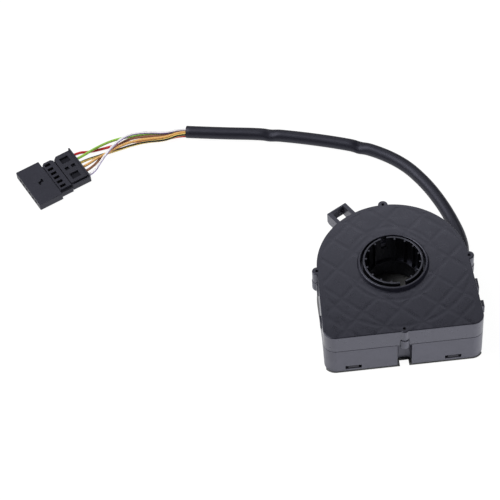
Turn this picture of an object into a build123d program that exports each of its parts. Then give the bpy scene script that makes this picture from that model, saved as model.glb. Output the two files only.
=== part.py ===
from build123d import *

import os
from math import cos, pi, radians, sin, sqrt, tan

# Steering angle sensor: a fixed black housing of three moulded shells, a hollow hub that turns
# with the steering shaft and carries two wipers round a ring of resistor track, and a sleeved
# lead that lies behind the housing and ends in a flat six-way plug. Millimetres.
# Frame: origin on the hub's axis at the underside, +X to the right along the flat front wall,
# +Y towards the round back, +Z up through the hub.

# Housing outline: a half circle about the hub, sides that flare to a flat front
BACK_RADIUS = 39.45
FRONT_HALF_WIDTH = 41.0
FRONT_REACH = 43.9
FRONT_CORNER_RADIUS = 6.0
SMALLEST_CORNER = 0.6
WALL = 1.8

# Heights of the shells above the underside
HOUSING_HEIGHT = 29.6
FACE_THICKNESS = 2.0
FACE_EDGE_RADIUS = 0.45
PARTING_HEIGHT = 17.9
PARTING_GAP = 0.4
LIP_HEIGHT = 1.8
LIP_THICKNESS = 0.8
LIP_CLEARANCE = 0.1

# Fixing ears at the sides and back, and the boss at the front
EAR_HOLE_OUTSET = 0.05
EAR_HOLE_RADIUS = 0.85
EAR_RADIUS = 2.6
LOWER_EAR_STEP = 0.25
EAR_SPLIT_RISE = 4.3
EAR_SPLIT_GAP = 0.2
EAR_FOOT_DROP = 2.5
EAR_FOOT_ROUND = 1.1
EAR_CLEARANCE = 0.1
FRONT_HOLE_INSET = 1.8
FRONT_BOSS_RADIUS = 2.4
FRONT_BOSS_SHIFT = 0.2
LOWER_BOSS_RADIUS = 2.6
LOWER_BOSS_SHIFT = 0.45

# Notch in the middle of the lower front wall
NOTCH_HALF_WIDTH = 3.7
NOTCH_DEPTH = 4.7
NOTCH_INNER_RADIUS = 2.2
NOTCH_WALL = 1.6

# Rectangular loop at the back left, flush with the face
LOOP_ANGLE = 121.6
LOOP_OUTSET = 7.75
LOOP_HALF_WIDTH = 6.1
LOOP_DEPTH = 7.3
LOOP_END_WALL = 0.9
LOOP_SIDE_WALL = 2.2
LOOP_FOOT_CHAMFER = 1.2

# Snap hooks on the outside of the side walls: side, middle y, length along y, reach, drop from the face
SIDE_HOOKS = [
    (1, -16.0, 6.0, 1.7, 3.4),
    (1, -22.6, 1.2, 1.0, 5.4),
    (1, -28.0, 4.0, 2.3, 5.0),
    (-1, -6.6, 3.0, 0.9, 2.6),
    (-1, -27.0, 4.0, 0.9, 5.0),
]
HOOK_FOOT_RISE = 0.5
HOOK_SLOPE = 0.8

# Hub, in rings from the steering shaft outwards
SHAFT_RADIUS = 13.4
SHAFT_LAND_STEP = 1.1
SHAFT_LAND_RISE = 3.0
SHAFT_LAND_LENGTH = 8.9
HUB_WALL = 1.05
HUB_BOTTOM = 2.4
HUB_RISE = 2.6
HUB_RIM_ROUND = 0.2
FLANGE_OVERHANG = 0.97
FLANGE_THICKNESS = 1.6
RIB_COUNT = 16
RIB_FIRST_ANGLE = 11.5
RIB_CLEARANCE = 0.05
RIB_WIDTH = 0.8
RIB_TOP_DROP = 0.2
KEYWAY_INDEXES = (4, 12)
KEYWAY_WIDTH = 3.1
KEYWAY_DEPTH = 8.0
RUNNING_CLEARANCE = 0.08
AXIAL_GAP = 0.3

# Collar and bearing land of the cover round the hub
COLLAR_GAP = 1.17
COLLAR_WALL = 1.2
COLLAR_FOOT_SPREAD = 0.64
COLLAR_HEIGHT = 1.9
COLLAR_ROUND = 0.35
COLLAR_FLOOR_DEPTH = 2.6
BEARING_DEPTH = 3.0

# Stiffening ribs under the cover's face: diagonal lines and two rings about the hub
LATTICE_SPACING = 13.7
LATTICE_PAIRS = 4
FACE_RIB_WIDTH = 0.8
FACE_RIB_HEIGHT = 1.2
INNER_RING_GAP = 5.36
OUTER_RING_OUTSET = 1.15

# Base lid, its bearing ring, its mouth under the hub and its snap tongues
LID_RIM_HEIGHT = 0.7
LID_RIM_INSET = 0.45
LID_TOP = 1.8
LID_CLEARANCE = 0.15
LID_RING_WALL = 2.6
LID_RING_HEIGHT = 6.0
MOUTH_STEP = 1.17
MOUTH_DEPTH = 2.0
WINDOW_LENGTH = 8.4
WINDOW_RISE = 0.2
WINDOW_HEIGHT = 2.6
FRONT_WINDOW_INSETS = (14.7, 16.0)
BACK_WINDOW_ANGLES = (65.0, 150.0)
TONGUE_LENGTH = 5.4
TONGUE_THICKNESS = 1.2
TONGUE_TOP_GAP = 0.2
NOSE_TOP_DROP = 0.6
NOSE_FOOT_GAP = 0.3
NOSE_INSET = 0.35

# Shelf inside the lower housing, board posts and track columns
SHELF_BOTTOM = 8.0
SHELF_THICKNESS = 1.6
SHELF_HOLE_CLEARANCE = 1.3
POST_RIGHT_Y = -18.0
POST_LEFT_Y = -10.0
POST_FRONT_INSET = 9.9
POST_SIDE_INSET = 10.0
POST_RADIUS = 2.2
POST_HEIGHT = 0.4
POST_PIN_RADIUS = 0.9
POST_PIN_CLEARANCE = 0.1
COLUMN_ANGLES = (45.0, 135.0, 225.0, 315.0)
COLUMN_RADIUS = 1.6
COLUMN_GAP = 0.3
LEAD_SLOT_MARGIN = 1.6

# Main board, ring board and the printed tracks, in lanes of equal width across the ring
BOARD_THICKNESS = 1.6
MAIN_BOARD_INSET = 5.4
PART_ROOM = 3.4
RING_BOARD_GAP = 3.3
RING_BOARD_SEAT = 0.2
RING_LANES = 6
TRACK_LANES = (1, 3)
TRACK_THICKNESS = 0.15

# Wiper carrier on the hub, with two wipers at a right angle
CARRIER_SLEEVE_WALL = 1.65
CARRIER_DISC_THICKNESS = 1.6
CARRIER_EDGE = 0.6
WIPER_ROOM = 2.4
WIPER_ANGLES = (0.0, 90.0)
WIPER_THICKNESS = 0.3
WIPER_BASE_LENGTH = 4.5
WIPER_BASE_MARGIN = 0.95
WIPER_ARM_LENGTH = 7.0
WIPER_TIP_LENGTH = 1.4
WIPER_FINGER_WIDTH = 1.8
WIPER_CONTACT_GAP = 0.2
STAKE_RADIUS = 0.6
STAKE_HEIGHT = 0.8
STAKE_CLEARANCE = 0.05

# Felt ring under the cover's bearing land
FELT_HUB_GAP = 0.27
FELT_EDGE_INSET = 0.34
FELT_THICKNESS = 1.0

# Parts on the main board: sizes along X and Y, and height
CHIP_SIZE = (10.0, 10.0, 1.4)
DRIVER_SIZE = (5.0, 4.0, 1.4)
REGULATOR_SIZE = (6.4, 5.6, 2.2)
REGULATOR_TAB_REACH = 2.4
REGULATOR_FOOT_REACH = 3.0
CRYSTAL_SIZE = (9.0, 3.6, 2.4)
CAPACITOR_SIZE = (5.6, 3.0, 2.3)
RESISTOR_SIZE = (1.6, 0.9, 0.5)
RESISTOR_STEP = 2.6
RESISTOR_ROW_COUNTS = (5, 3, 4)
CHIP_PINS = 7
DRIVER_PINS = 4
PIN_PITCH = 1.27
PIN_WIDTH = 0.5
PIN_REACH = 1.0
PIN_THICKNESS = 0.25
LINK_COUNT = 5
LINK_PITCH = 2.54
LINK_RADIUS = 0.35
LINK_CLEARANCE = 0.08

# Their places on the board, from the walls beside them
CHIP_PLACE = (-16.5, 14.4 - FRONT_REACH)
DRIVER_PLACE = (FRONT_HALF_WIDTH - 19.5, 24.4 - FRONT_REACH)
REGULATOR_PLACE = (FRONT_HALF_WIDTH - 23.5, 12.9 - FRONT_REACH)
CRYSTAL_PLACE = (13.5 - FRONT_HALF_WIDTH, 22.4 - FRONT_REACH)
CAPACITOR_PLACES = [
    (FRONT_HALF_WIDTH - 11.5, 14.4 - FRONT_REACH),
    (FRONT_HALF_WIDTH - 32.5, 8.0 - FRONT_REACH),
    (12.45 - BACK_RADIUS, 5.0),
]
RESISTOR_ROW_PLACES = [
    (-8.0, 15.4 - FRONT_REACH),
    (16.5 - FRONT_HALF_WIDTH, 27.4 - FRONT_REACH),
    (FRONT_HALF_WIDTH - 19.5, 28.9 - FRONT_REACH),
]

# Cable outlet on the right of the round back
OUTLET_PLACE_ANGLE = 17.72
OUTLET_OUTSET = 0.967
OUTLET_HEIGHT = 6.2
OUTLET_ANGLE = 74.0
OUTLET_RADIUS = 4.9
OUTLET_LENGTH = 8.5
OUTLET_BORE_LENGTH = 11.5
OUTLET_SEAT_CLEARANCE = 0.1
SLEEVE_RADIUS = 3.5
SLEEVE_BORE_RADIUS = 3.0
SLEEVE_INSIDE = 5.0
SLEEVE_RUN_OUT = 7.5
SLEEVE_NEAR_BORE_DEPTH = 2.5
SLEEVE_FAR_BORE_DEPTH = 6.0
GROMMET_WALL = 0.8
GROMMET_FLANGE_RADIUS = 4.9
GROMMET_FLANGE_THICKNESS = 1.2

# Route of the sleeve from the outlet to its open end, then the share of a run that its arcs take
SLEEVE_ROUTE = [
    (40.7, 31.5, 4.9),
    (38.7, 43.5, 3.5),
    (34.9, 57.0, 3.5),
    (28.3, 73.0, 3.5),
    (18.0, 89.2, 3.5),
    (1.6, 102.0, 3.5),
    (-17.0, 109.6, 3.5),
    (-38.0, 116.5, 3.5),
    (-59.0, 122.1, 3.5),
    (-79.5, 125.4, 3.5),
    (-100.7, 129.6, 3.5),
]
ARC_SHARE = 0.45

# Wires: place across the sleeve, row in it (0 upper, 1 lower), cavity number in the plug, and route
WIRE_RADIUS = 0.75
WIRE_SIDE_STEP = 1.6
WIRE_ROW_HEIGHTS = (0.15, -1.5)
WIRE_LEAD_OUT = 3.0
WIRES = {
    "wire_white_violet": (1, 0, 5, [
        (-112.4, 130.2, 3.7), (-123.0, 131.9, 4.2), (-132.5, 131.2, 4.9), (-139.5, 126.0, 6.2),
        (-145.5, 119.0, 6.2), (-150.8, 112.4, 4.4)]),
    "wire_green": (1, 1, 1, [
        (-113.0, 131.5, 1.7), (-124.0, 132.6, 1.6), (-133.5, 132.2, 1.7), (-142.5, 130.6, 1.9),
        (-149.5, 126.9, 2.8), (-155.5, 123.0, 3.4)]),
    "wire_yellow_black": (-1, 0, 2, [
        (-112.5, 125.4, 2.9), (-123.5, 126.0, 2.7), (-132.0, 124.9, 2.4), (-139.5, 123.4, 1.5),
        (-146.0, 122.3, 0.85), (-152.5, 120.3, 1.0)]),
    "wire_tan_brown": (0, 0, 3, [
        (-112.5, 127.4, 3.1), (-123.5, 128.0, 3.0), (-132.0, 126.9, 3.2), (-139.5, 123.4, 4.2),
        (-146.5, 118.9, 4.5), (-152.5, 116.0, 4.2)]),
    "wire_brown": (0, 1, 4, [
        (-112.0, 129.7, 2.1), (-123.0, 130.4, 2.4), (-132.5, 129.9, 2.7), (-139.5, 126.2, 2.9),
        (-145.0, 121.8, 2.8), (-150.5, 117.2, 2.3)]),
    "wire_red": (-1, 1, 0, [
        (-111.5, 127.9, 1.1), (-122.0, 128.6, 0.9), (-132.0, 128.9, 0.9), (-142.0, 127.3, 0.9),
        (-150.5, 125.4, 0.9), (-157.5, 124.0, 1.3)]),
}

# Short leads inside the housing, from the sleeve up to the main board
LEAD_RADIUS = 0.6
LEAD_RUN_OUT = 1.5
LEAD_PAD_INSET = 5.05
LEAD_PAD_STEP = 3.0
LEAD_PAD_ROWS = (-3.0, -8.0)
LEAD_ENTRY_RADIUS = 6.0
LEAD_BEND_RADIUS = 1.8

# Plug: its own X runs from the mating end to the wires, Y across the row of cavities
PLUG_PLACE = (-176.2, 106.6)
PLUG_ANGLE = 27.0
PLUG_THICKNESS = 4.4
CAVITY_COUNT = 6
CAVITY_PITCH = 3.64
CAVITY_WIDTH = 2.0
CAVITY_HEIGHT = 1.7
CAVITY_END = 3.0
MATING_END = -17.5
MATING_BACK = -3.15
MATING_MARGIN = 5.3
GROOVE_WIDTH = 0.5
GROOVE_DEPTH = 0.9
SLOT_SECTION_END = 4.3
SLOT_SECTION_LOW_MARGIN = 2.1
SLOT_SECTION_HIGH_MARGIN = 2.5
SLOT_SECTION_CORNER = 1.3
SLOT_LEDGE_WIDTH = 1.7
SLOT_LEDGE_HEIGHT = 3.2
SLOT_LENGTH = 3.4
SLOT_WIDTH = 1.95
LOCK_TONGUE_REACH = 2.1
LOCK_TONGUE_MARGIN = 1.0
LOCK_TONGUE_LOW = 1.1
LOCK_TONGUE_HIGH = 3.3
CAP_BACK = 15.3
CAP_LOW_MARGIN = 1.3
CAP_HIGH_MARGIN = 3.0
CAP_CORNER = 1.9
CAP_LEDGE_WIDTH = 1.6
CAP_LEDGE_HEIGHT = 3.6
REAR_RIB_THICKNESS = 0.9
REAR_RIB_HIGH_MARGIN = 3.8
REAR_RIB_HEIGHT = 5.1
PLUG_EDGE_ROUND = 0.35

# Recesses in the plug's top: place, length and width, and how deep
CAP_RECESSES = [
    (10.0, 7.0, 5.3, 4.5),
    (9.6, -6.0, 5.3, 4.5),
    (12.0, 0.7, 2.4, 2.4),
    (7.9, 0.6, 2.4, 2.4),
]
CAP_RECESS_DEPTH = 1.2
CAP_SIDE_RECESS = (5.8, 14.3, 0.8, 1.0)
KEY_RECESSES = [(-8.9, 0.3, 3.0, 1.3), (-7.9, 1.4, 1.2, 1.5), (-9.9, -0.8, 1.2, 1.5)]
KEY_RECESS_DEPTH = 1.1

# Terminals in the plug, and the wires' ends
TERMINAL_FRONT = -9.0
TERMINAL_BOX_BACK = -2.2
TERMINAL_CLEARANCE = 0.1
TERMINAL_WALL = 0.3
TERMINAL_WAIST_WIDTH = 0.9
WIRE_HOLE_CLEARANCE = 0.05
WIRE_END = 14.6
WIRE_RUN_IN = 5.3

# Sizes that follow from those above
CENTER_LOW = (Align.CENTER, Align.CENTER, Align.MIN)
CENTER_HIGH = (Align.CENTER, Align.CENTER, Align.MAX)
LOW = (Align.MIN, Align.MIN, Align.MIN)
NOTCH_BACK = FRONT_REACH - NOTCH_DEPTH
FREE_RADIUS = min(BACK_RADIUS - WALL, NOTCH_BACK - NOTCH_WALL)
SKIRT_BOTTOM = PARTING_HEIGHT + PARTING_GAP / 2
LOWER_TOP = PARTING_HEIGHT - PARTING_GAP / 2
LIP_TOP = LOWER_TOP + LIP_HEIGHT
FACE_UNDERSIDE = HOUSING_HEIGHT - FACE_THICKNESS
EAR_FOOT = PARTING_HEIGHT - EAR_FOOT_DROP
EAR_SPLIT = PARTING_HEIGHT + EAR_SPLIT_RISE
HUB_INNER_RADIUS = SHAFT_RADIUS + SHAFT_LAND_STEP
HUB_OUTER_RADIUS = HUB_INNER_RADIUS + HUB_WALL
HUB_TOP = HOUSING_HEIGHT + HUB_RISE
BEARING_RADIUS = HUB_OUTER_RADIUS + RUNNING_CLEARANCE
BEARING_BOTTOM = FACE_UNDERSIDE - BEARING_DEPTH
COLLAR_INNER_RADIUS = BEARING_RADIUS + COLLAR_GAP
COLLAR_OUTER_RADIUS = COLLAR_INNER_RADIUS + COLLAR_WALL
COLLAR_FOOT_RADIUS = COLLAR_OUTER_RADIUS + COLLAR_FOOT_SPREAD
MOUTH_RADIUS = BEARING_RADIUS + MOUTH_STEP
LID_RING_RADIUS = BEARING_RADIUS + LID_RING_WALL
WINDOW_BOTTOM = LID_TOP + WINDOW_RISE
WINDOW_TOP = WINDOW_BOTTOM + WINDOW_HEIGHT
FLANGE_RADIUS = LID_RING_RADIUS + FLANGE_OVERHANG
FLANGE_BOTTOM = LID_RING_HEIGHT + AXIAL_GAP
FLANGE_TOP = FLANGE_BOTTOM + FLANGE_THICKNESS
SHELF_TOP = SHELF_BOTTOM + SHELF_THICKNESS
SHELF_HOLE_RADIUS = FLANGE_RADIUS + SHELF_HOLE_CLEARANCE
BOARD_BOTTOM = SHELF_TOP + POST_HEIGHT
BOARD_TOP = BOARD_BOTTOM + BOARD_THICKNESS
CARRIER_SLEEVE_RADIUS = HUB_OUTER_RADIUS + CARRIER_SLEEVE_WALL
CARRIER_TOP = BEARING_BOTTOM - FELT_THICKNESS - AXIAL_GAP
CARRIER_DISC_BOTTOM = BOARD_TOP + PART_ROOM
CARRIER_DISC_TOP = CARRIER_DISC_BOTTOM + CARRIER_DISC_THICKNESS
RING_BOARD_BOTTOM = CARRIER_DISC_TOP + WIPER_ROOM
RING_BOARD_TOP = RING_BOARD_BOTTOM + BOARD_THICKNESS
COLUMN_REACH = FREE_RADIUS - COLUMN_RADIUS - COLUMN_GAP
RING_BOARD_INNER = CARRIER_SLEEVE_RADIUS + RING_BOARD_GAP
RING_BOARD_OUTER = COLUMN_REACH - RING_BOARD_SEAT
LANE = (RING_BOARD_OUTER - RING_BOARD_INNER) / RING_LANES
TRACK_MIDDLES = [RING_BOARD_INNER + (lane + 0.5) * LANE for lane in TRACK_LANES]
WIPER_BASE_INNER = TRACK_MIDDLES[0] - LANE / 2 - WIPER_BASE_MARGIN
WIPER_BASE_OUTER = TRACK_MIDDLES[-1] + LANE / 2 + WIPER_BASE_MARGIN
CARRIER_DISC_RADIUS = WIPER_BASE_OUTER + CARRIER_EDGE
LINK_Y = -(CARRIER_DISC_RADIUS + RING_BOARD_OUTER) / 2
OUTWARD = Vector(cos(radians(OUTLET_ANGLE)), sin(radians(OUTLET_ANGLE)), 0)
PLUG_WIRE_HEIGHT = PLUG_THICKNESS / 2
CAVITY_ROW_HALF = (CAVITY_COUNT - 1) / 2 * CAVITY_PITCH
SLOT_SECTION_LOW = -CAVITY_ROW_HALF - SLOT_SECTION_LOW_MARGIN
SLOT_SECTION_HIGH = CAVITY_ROW_HALF + SLOT_SECTION_HIGH_MARGIN
LOCK_TONGUE_END = SLOT_SECTION_END + LOCK_TONGUE_REACH
LOCK_TONGUE_HALF = CAVITY_ROW_HALF + LOCK_TONGUE_MARGIN
CAP_FRONT = SLOT_SECTION_END + GROOVE_WIDTH
CAP_LOW = -CAVITY_ROW_HALF - CAP_LOW_MARGIN
CAP_HIGH = CAVITY_ROW_HALF + CAP_HIGH_MARGIN
CAP_LEDGE_LOW = CAP_LOW - CAP_LEDGE_WIDTH


def polar(radius, angle):
    """Point on a circle about the hub's axis."""
    return radius * cos(radians(angle)), radius * sin(radians(angle))


def side_x(y):
    """How far the side wall's outer face stands from the middle, in front of the hub's axis."""
    return BACK_RADIUS - y * (FRONT_HALF_WIDTH - BACK_RADIUS) / FRONT_REACH


def outline(inset=0.0):
    """The housing's D outline, moved inwards by inset."""
    radius = BACK_RADIUS - inset
    half = FRONT_HALF_WIDTH - inset
    front = inset - FRONT_REACH
    back = CenterArc((0, 0), radius, 0, 180)
    rest = Polyline((-radius, 0), (-half, front), (half, front), (radius, 0))
    face = make_face([back, rest])
    corners = face.vertices().sort_by(Axis.Y)[:2]
    return fillet(corners, max(FRONT_CORNER_RADIUS - inset, SMALLEST_CORNER))


def lift(sketch, low, high):
    """Extrude a flat sketch from one height to another."""
    return Pos(0, 0, low) * extrude(sketch, high - low)


def slab(low, high, inset=0.0):
    """A plate of the housing's outline."""
    return lift(outline(inset), low, high)


def disc(low, high, radius, place=(0, 0)):
    """An upright cylinder."""
    return Pos(place[0], place[1], low) * Cylinder(radius, high - low, align=CENTER_LOW)


def ring(low, high, inner, outer):
    """A round ring about the hub's axis."""
    return disc(low, high, outer) - disc(low, high, inner)


def block(x_low, x_high, y_low, y_high, z_low, z_high):
    """A box between two corners."""
    size = (x_high - x_low, y_high - y_low, z_high - z_low)
    return Pos(x_low, y_low, z_low) * Box(*size, align=LOW)


def ear_places():
    """Hole centres of the three ears on the round part."""
    return [polar(BACK_RADIUS + EAR_HOLE_OUTSET, angle) for angle in (0, 90, 180)]


def front_hole_y(shift=0.0):
    """Height on the plan of the front hole, or of a boss that stands further out by shift."""
    return FRONT_HOLE_INSET - FRONT_REACH - shift


def hole_places():
    """Centres of all four fixing holes."""
    return ear_places() + [(0, front_hole_y())]


def lower_ear_discs(extra):
    """Place and radius of the lower shell's ears and front boss."""
    ears = [(place, EAR_RADIUS + LOWER_EAR_STEP + extra) for place in ear_places()]
    boss = ((0, front_hole_y(LOWER_BOSS_SHIFT)), LOWER_BOSS_RADIUS + extra)
    return ears + [boss]


def notch_sketch(extra):
    """Plan of the front notch, grown by extra, with round inner corners."""
    half = NOTCH_HALF_WIDTH + extra
    depth = NOTCH_DEPTH + 2 * WALL + extra
    plan = Pos(0, extra - NOTCH_BACK) * Rectangle(2 * half, depth, align=(Align.CENTER, Align.MAX))
    corners = plan.vertices().sort_by(Axis.Y)[-2:]
    return fillet(corners, NOTCH_INNER_RADIUS)


def post_places():
    """Board posts beside both side walls and one behind the hub."""
    front = POST_FRONT_INSET - FRONT_REACH
    beside = [(-1, POST_LEFT_Y), (1, POST_RIGHT_Y), (-1, front), (1, front)]
    places = [(side * (side_x(y) - POST_SIDE_INSET), y) for side, y in beside]
    behind = (SHELF_HOLE_RADIUS + BACK_RADIUS - MAIN_BOARD_INSET) / 2
    return places + [(0, behind)]


def column_places():
    """Centres of the columns that carry the ring board."""
    return [polar(COLUMN_REACH, angle) for angle in COLUMN_ANGLES]


def link_places():
    """Places of the pins that join the two boards."""
    first = -(LINK_COUNT - 1) / 2 * LINK_PITCH
    return [(first + number * LINK_PITCH, LINK_Y) for number in range(LINK_COUNT)]


def lead_pad(side, row):
    """Where an inner lead meets the main board."""
    middle = BACK_RADIUS - MAIN_BOARD_INSET - LEAD_PAD_INSET
    return middle + side * LEAD_PAD_STEP, LEAD_PAD_ROWS[row]


def outlet_mouth():
    """Middle of the cable outlet's mouth."""
    return Vector(*polar(BACK_RADIUS + OUTLET_OUTSET, OUTLET_PLACE_ANGLE), OUTLET_HEIGHT)


def along(route, radius_share=ARC_SHARE):
    """Straight runs joined by tangent arcs, each arc as large as its two runs allow."""
    points = [Vector(*point) for point in route]
    radii = []
    for before, here, after in zip(points, points[1:], points[2:]):
        run_in = here - before
        run_out = after - here
        half_turn = radians(run_in.get_angle(run_out)) / 2
        shorter = min(run_in.length, run_out.length)
        radii.append(radius_share * shorter / tan(half_turn))
    path = FilletPolyline(*points, radius=radii)
    return path, radii


def cord(name, route, radius):
    """A round cord along a route, with its radii and volume printed for a check."""
    path, radii = along(route)
    section = Plane(origin=path @ 0, z_dir=path % 0) * Circle(radius)
    solid = sweep(section, path=path)
    straight = pi * radius**2 * path.length
    print(f"{name}: length {path.length:.1f}, smallest radius {min(radii):.1f}, "
          f"volume over section x length {solid.volume / straight:.4f}")
    return solid


def make_hook(side, middle, length, reach, drop):
    """One snap hook on the outside of a side wall, sloped at its foot."""
    wall_x = side_x(middle)
    hook = block(wall_x - WALL, wall_x + reach, middle - length / 2, middle + length / 2,
                 SKIRT_BOTTOM + HOOK_FOOT_RISE, HOUSING_HEIGHT - drop)
    hook = chamfer(hook.edges().group_by(Axis.X)[-1].group_by(Axis.Z)[0], HOOK_SLOPE)
    return hook if side > 0 else mirror(hook, about=Plane.YZ)


def make_loop():
    """The rectangular loop, with its opening and the slope under its outer wall."""
    low = HOUSING_HEIGHT - LOOP_DEPTH
    reach = BACK_RADIUS + LOOP_OUTSET
    loop = block(BACK_RADIUS - WALL, reach, -LOOP_HALF_WIDTH, LOOP_HALF_WIDTH, low, HOUSING_HEIGHT)
    loop = chamfer(loop.edges().group_by(Axis.X)[-1].group_by(Axis.Z)[0], LOOP_FOOT_CHAMFER)
    inner = LOOP_HALF_WIDTH - LOOP_SIDE_WALL
    loop -= block(BACK_RADIUS - 2 * WALL, reach - LOOP_END_WALL, -inner, inner, low, HOUSING_HEIGHT)
    return Rot(0, 0, LOOP_ANGLE) * loop - slab(low, HOUSING_HEIGHT, WALL)


def face_ribs():
    """Plan of the ribs under the cover's face: crossed diagonals and two rings."""
    ribs = Sketch()
    length = 2 * LATTICE_PAIRS * LATTICE_SPACING
    for turn in (45, -45):
        for number in range(-LATTICE_PAIRS, LATTICE_PAIRS):
            line = Pos(0, (number + 0.5) * LATTICE_SPACING) * Rectangle(length, FACE_RIB_WIDTH)
            ribs += Rot(0, 0, turn) * line
    for radius in (COLLAR_FOOT_RADIUS + INNER_RING_GAP, BACK_RADIUS + OUTER_RING_OUTSET):
        ribs += Circle(radius + FACE_RIB_WIDTH / 2) - Circle(radius - FACE_RIB_WIDTH / 2)
    return (ribs & outline(WALL)) - Circle(COLLAR_FOOT_RADIUS)


def make_collar():
    """The collar's turned section, from the bearing's foot to its rounded crown."""
    top = HOUSING_HEIGHT + COLLAR_HEIGHT
    section = Polyline(
        (COLLAR_INNER_RADIUS, BEARING_BOTTOM), (COLLAR_FOOT_RADIUS, BEARING_BOTTOM),
        (COLLAR_FOOT_RADIUS, HOUSING_HEIGHT), (COLLAR_OUTER_RADIUS, top),
        (COLLAR_INNER_RADIUS, top), close=True)
    profile = make_face(section)
    profile = fillet(profile.vertices().group_by(Axis.Y)[-1], COLLAR_ROUND)
    return revolve(Plane.XZ * profile, axis=Axis.Z)


def make_top_cover():
    """Face, skirt, ears, collar, loop, hooks and the ribs under the face."""
    upper = outline()
    for place in ear_places():
        upper += Pos(*place) * Circle(EAR_RADIUS)
    boss_place = (0, front_hole_y(FRONT_BOSS_SHIFT))
    upper += Pos(*boss_place) * Circle(FRONT_BOSS_RADIUS)
    split = EAR_SPLIT + EAR_SPLIT_GAP / 2
    cover = lift(upper, split, HOUSING_HEIGHT)
    cover = fillet(cover.edges().group_by(Axis.Z)[-1], FACE_EDGE_RADIUS)
    cover += slab(SKIRT_BOTTOM, split)
    cover += make_loop()
    for hook in SIDE_HOOKS:
        cover += make_hook(*hook)

    cover -= slab(SKIRT_BOTTOM, FACE_UNDERSIDE, WALL)
    cover -= slab(SKIRT_BOTTOM, LIP_TOP, WALL - LIP_THICKNESS - LIP_CLEARANCE)
    for place, radius in lower_ear_discs(EAR_CLEARANCE):
        cover -= disc(SKIRT_BOTTOM, split, radius, place)
    face_middle = HOUSING_HEIGHT - FACE_THICKNESS / 2
    for place in ear_places():
        cover += disc(split, face_middle, EAR_RADIUS, place)
    cover += disc(split, face_middle, FRONT_BOSS_RADIUS, boss_place)
    cover += lift(face_ribs(), FACE_UNDERSIDE - FACE_RIB_HEIGHT, FACE_UNDERSIDE)

    collar_top = HOUSING_HEIGHT + COLLAR_HEIGHT
    collar_floor = HOUSING_HEIGHT - COLLAR_FLOOR_DEPTH
    cover += make_collar()
    cover += ring(BEARING_BOTTOM, collar_floor, BEARING_RADIUS, COLLAR_INNER_RADIUS)
    cover -= disc(BEARING_BOTTOM, collar_top, BEARING_RADIUS)
    cover -= disc(collar_floor, collar_top, COLLAR_INNER_RADIUS)

    for place in column_places():
        cover += disc(RING_BOARD_TOP, FACE_UNDERSIDE, COLUMN_RADIUS, place)
    for place in hole_places():
        cover -= disc(SKIRT_BOTTOM, HOUSING_HEIGHT, EAR_HOLE_RADIUS, place)
    return cover


def make_lower_housing():
    """Wall, locating lip, ears, notch, shelf, board posts, columns and the cable outlet."""
    shell = slab(LID_RIM_HEIGHT, LOWER_TOP) - slab(LID_RIM_HEIGHT, LOWER_TOP, WALL)
    shell += slab(LOWER_TOP, LIP_TOP, WALL - LIP_THICKNESS) - slab(LOWER_TOP, LIP_TOP, WALL)
    shelf = slab(SHELF_BOTTOM, SHELF_TOP, WALL) - disc(SHELF_BOTTOM, SHELF_TOP, SHELF_HOLE_RADIUS)
    (left, near), (right, far) = lead_pad(-1, 1), lead_pad(1, 0)
    shell += shelf - block(left - LEAD_SLOT_MARGIN, right + LEAD_SLOT_MARGIN, near - LEAD_SLOT_MARGIN,
                           far + LEAD_SLOT_MARGIN, SHELF_BOTTOM, SHELF_TOP)

    shell += lift(notch_sketch(NOTCH_WALL) & outline(), LID_RIM_HEIGHT, LOWER_TOP)
    shell -= lift(notch_sketch(0), LID_RIM_HEIGHT, LOWER_TOP - NOTCH_WALL)
    shell -= lift(notch_sketch(0) - outline(WALL - LIP_THICKNESS), LID_RIM_HEIGHT, LOWER_TOP)

    ear_top = EAR_SPLIT - EAR_SPLIT_GAP / 2
    for place, radius in lower_ear_discs(0):
        ear = disc(EAR_FOOT, ear_top, radius, place)
        shell += fillet(ear.edges().group_by(Axis.Z)[0], EAR_FOOT_ROUND)
    for place in hole_places():
        shell -= disc(EAR_FOOT, ear_top, EAR_HOLE_RADIUS, place)

    for place in post_places():
        shell += disc(SHELF_TOP, BOARD_BOTTOM, POST_RADIUS, place)
        shell += disc(BOARD_BOTTOM, BOARD_TOP + POST_HEIGHT, POST_PIN_RADIUS, place)
    for place in column_places():
        shell += disc(SHELF_TOP, RING_BOARD_BOTTOM, COLUMN_RADIUS, place)

    outlet = Plane(origin=outlet_mouth(), z_dir=OUTWARD)
    tube = outlet * Cylinder(OUTLET_RADIUS, OUTLET_LENGTH, align=CENTER_HIGH)
    shell += tube - slab(0, LOWER_TOP, WALL)
    shell -= outlet * Cylinder(SLEEVE_RADIUS + GROMMET_WALL, OUTLET_BORE_LENGTH, align=CENTER_HIGH)
    shell -= outlet * Cylinder(GROMMET_FLANGE_RADIUS + OUTLET_SEAT_CLEARANCE, OUTLET_LENGTH, align=CENTER_LOW)

    half = WINDOW_LENGTH / 2
    for middle in window_middles():
        shell -= block(middle - half, middle + half, -FRONT_REACH - WALL, WALL - FRONT_REACH,
                       WINDOW_BOTTOM, WINDOW_TOP)
    for angle in BACK_WINDOW_ANGLES:
        window = block(BACK_RADIUS - 1.5 * WALL, BACK_RADIUS + WALL, -half, half, WINDOW_BOTTOM, WINDOW_TOP)
        shell -= Rot(0, 0, angle) * window
    return shell


def window_middles():
    """Middles of the two front latch windows, from the corners beside them."""
    left, right = FRONT_WINDOW_INSETS
    return left - FRONT_HALF_WIDTH, FRONT_HALF_WIDTH - right


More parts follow.
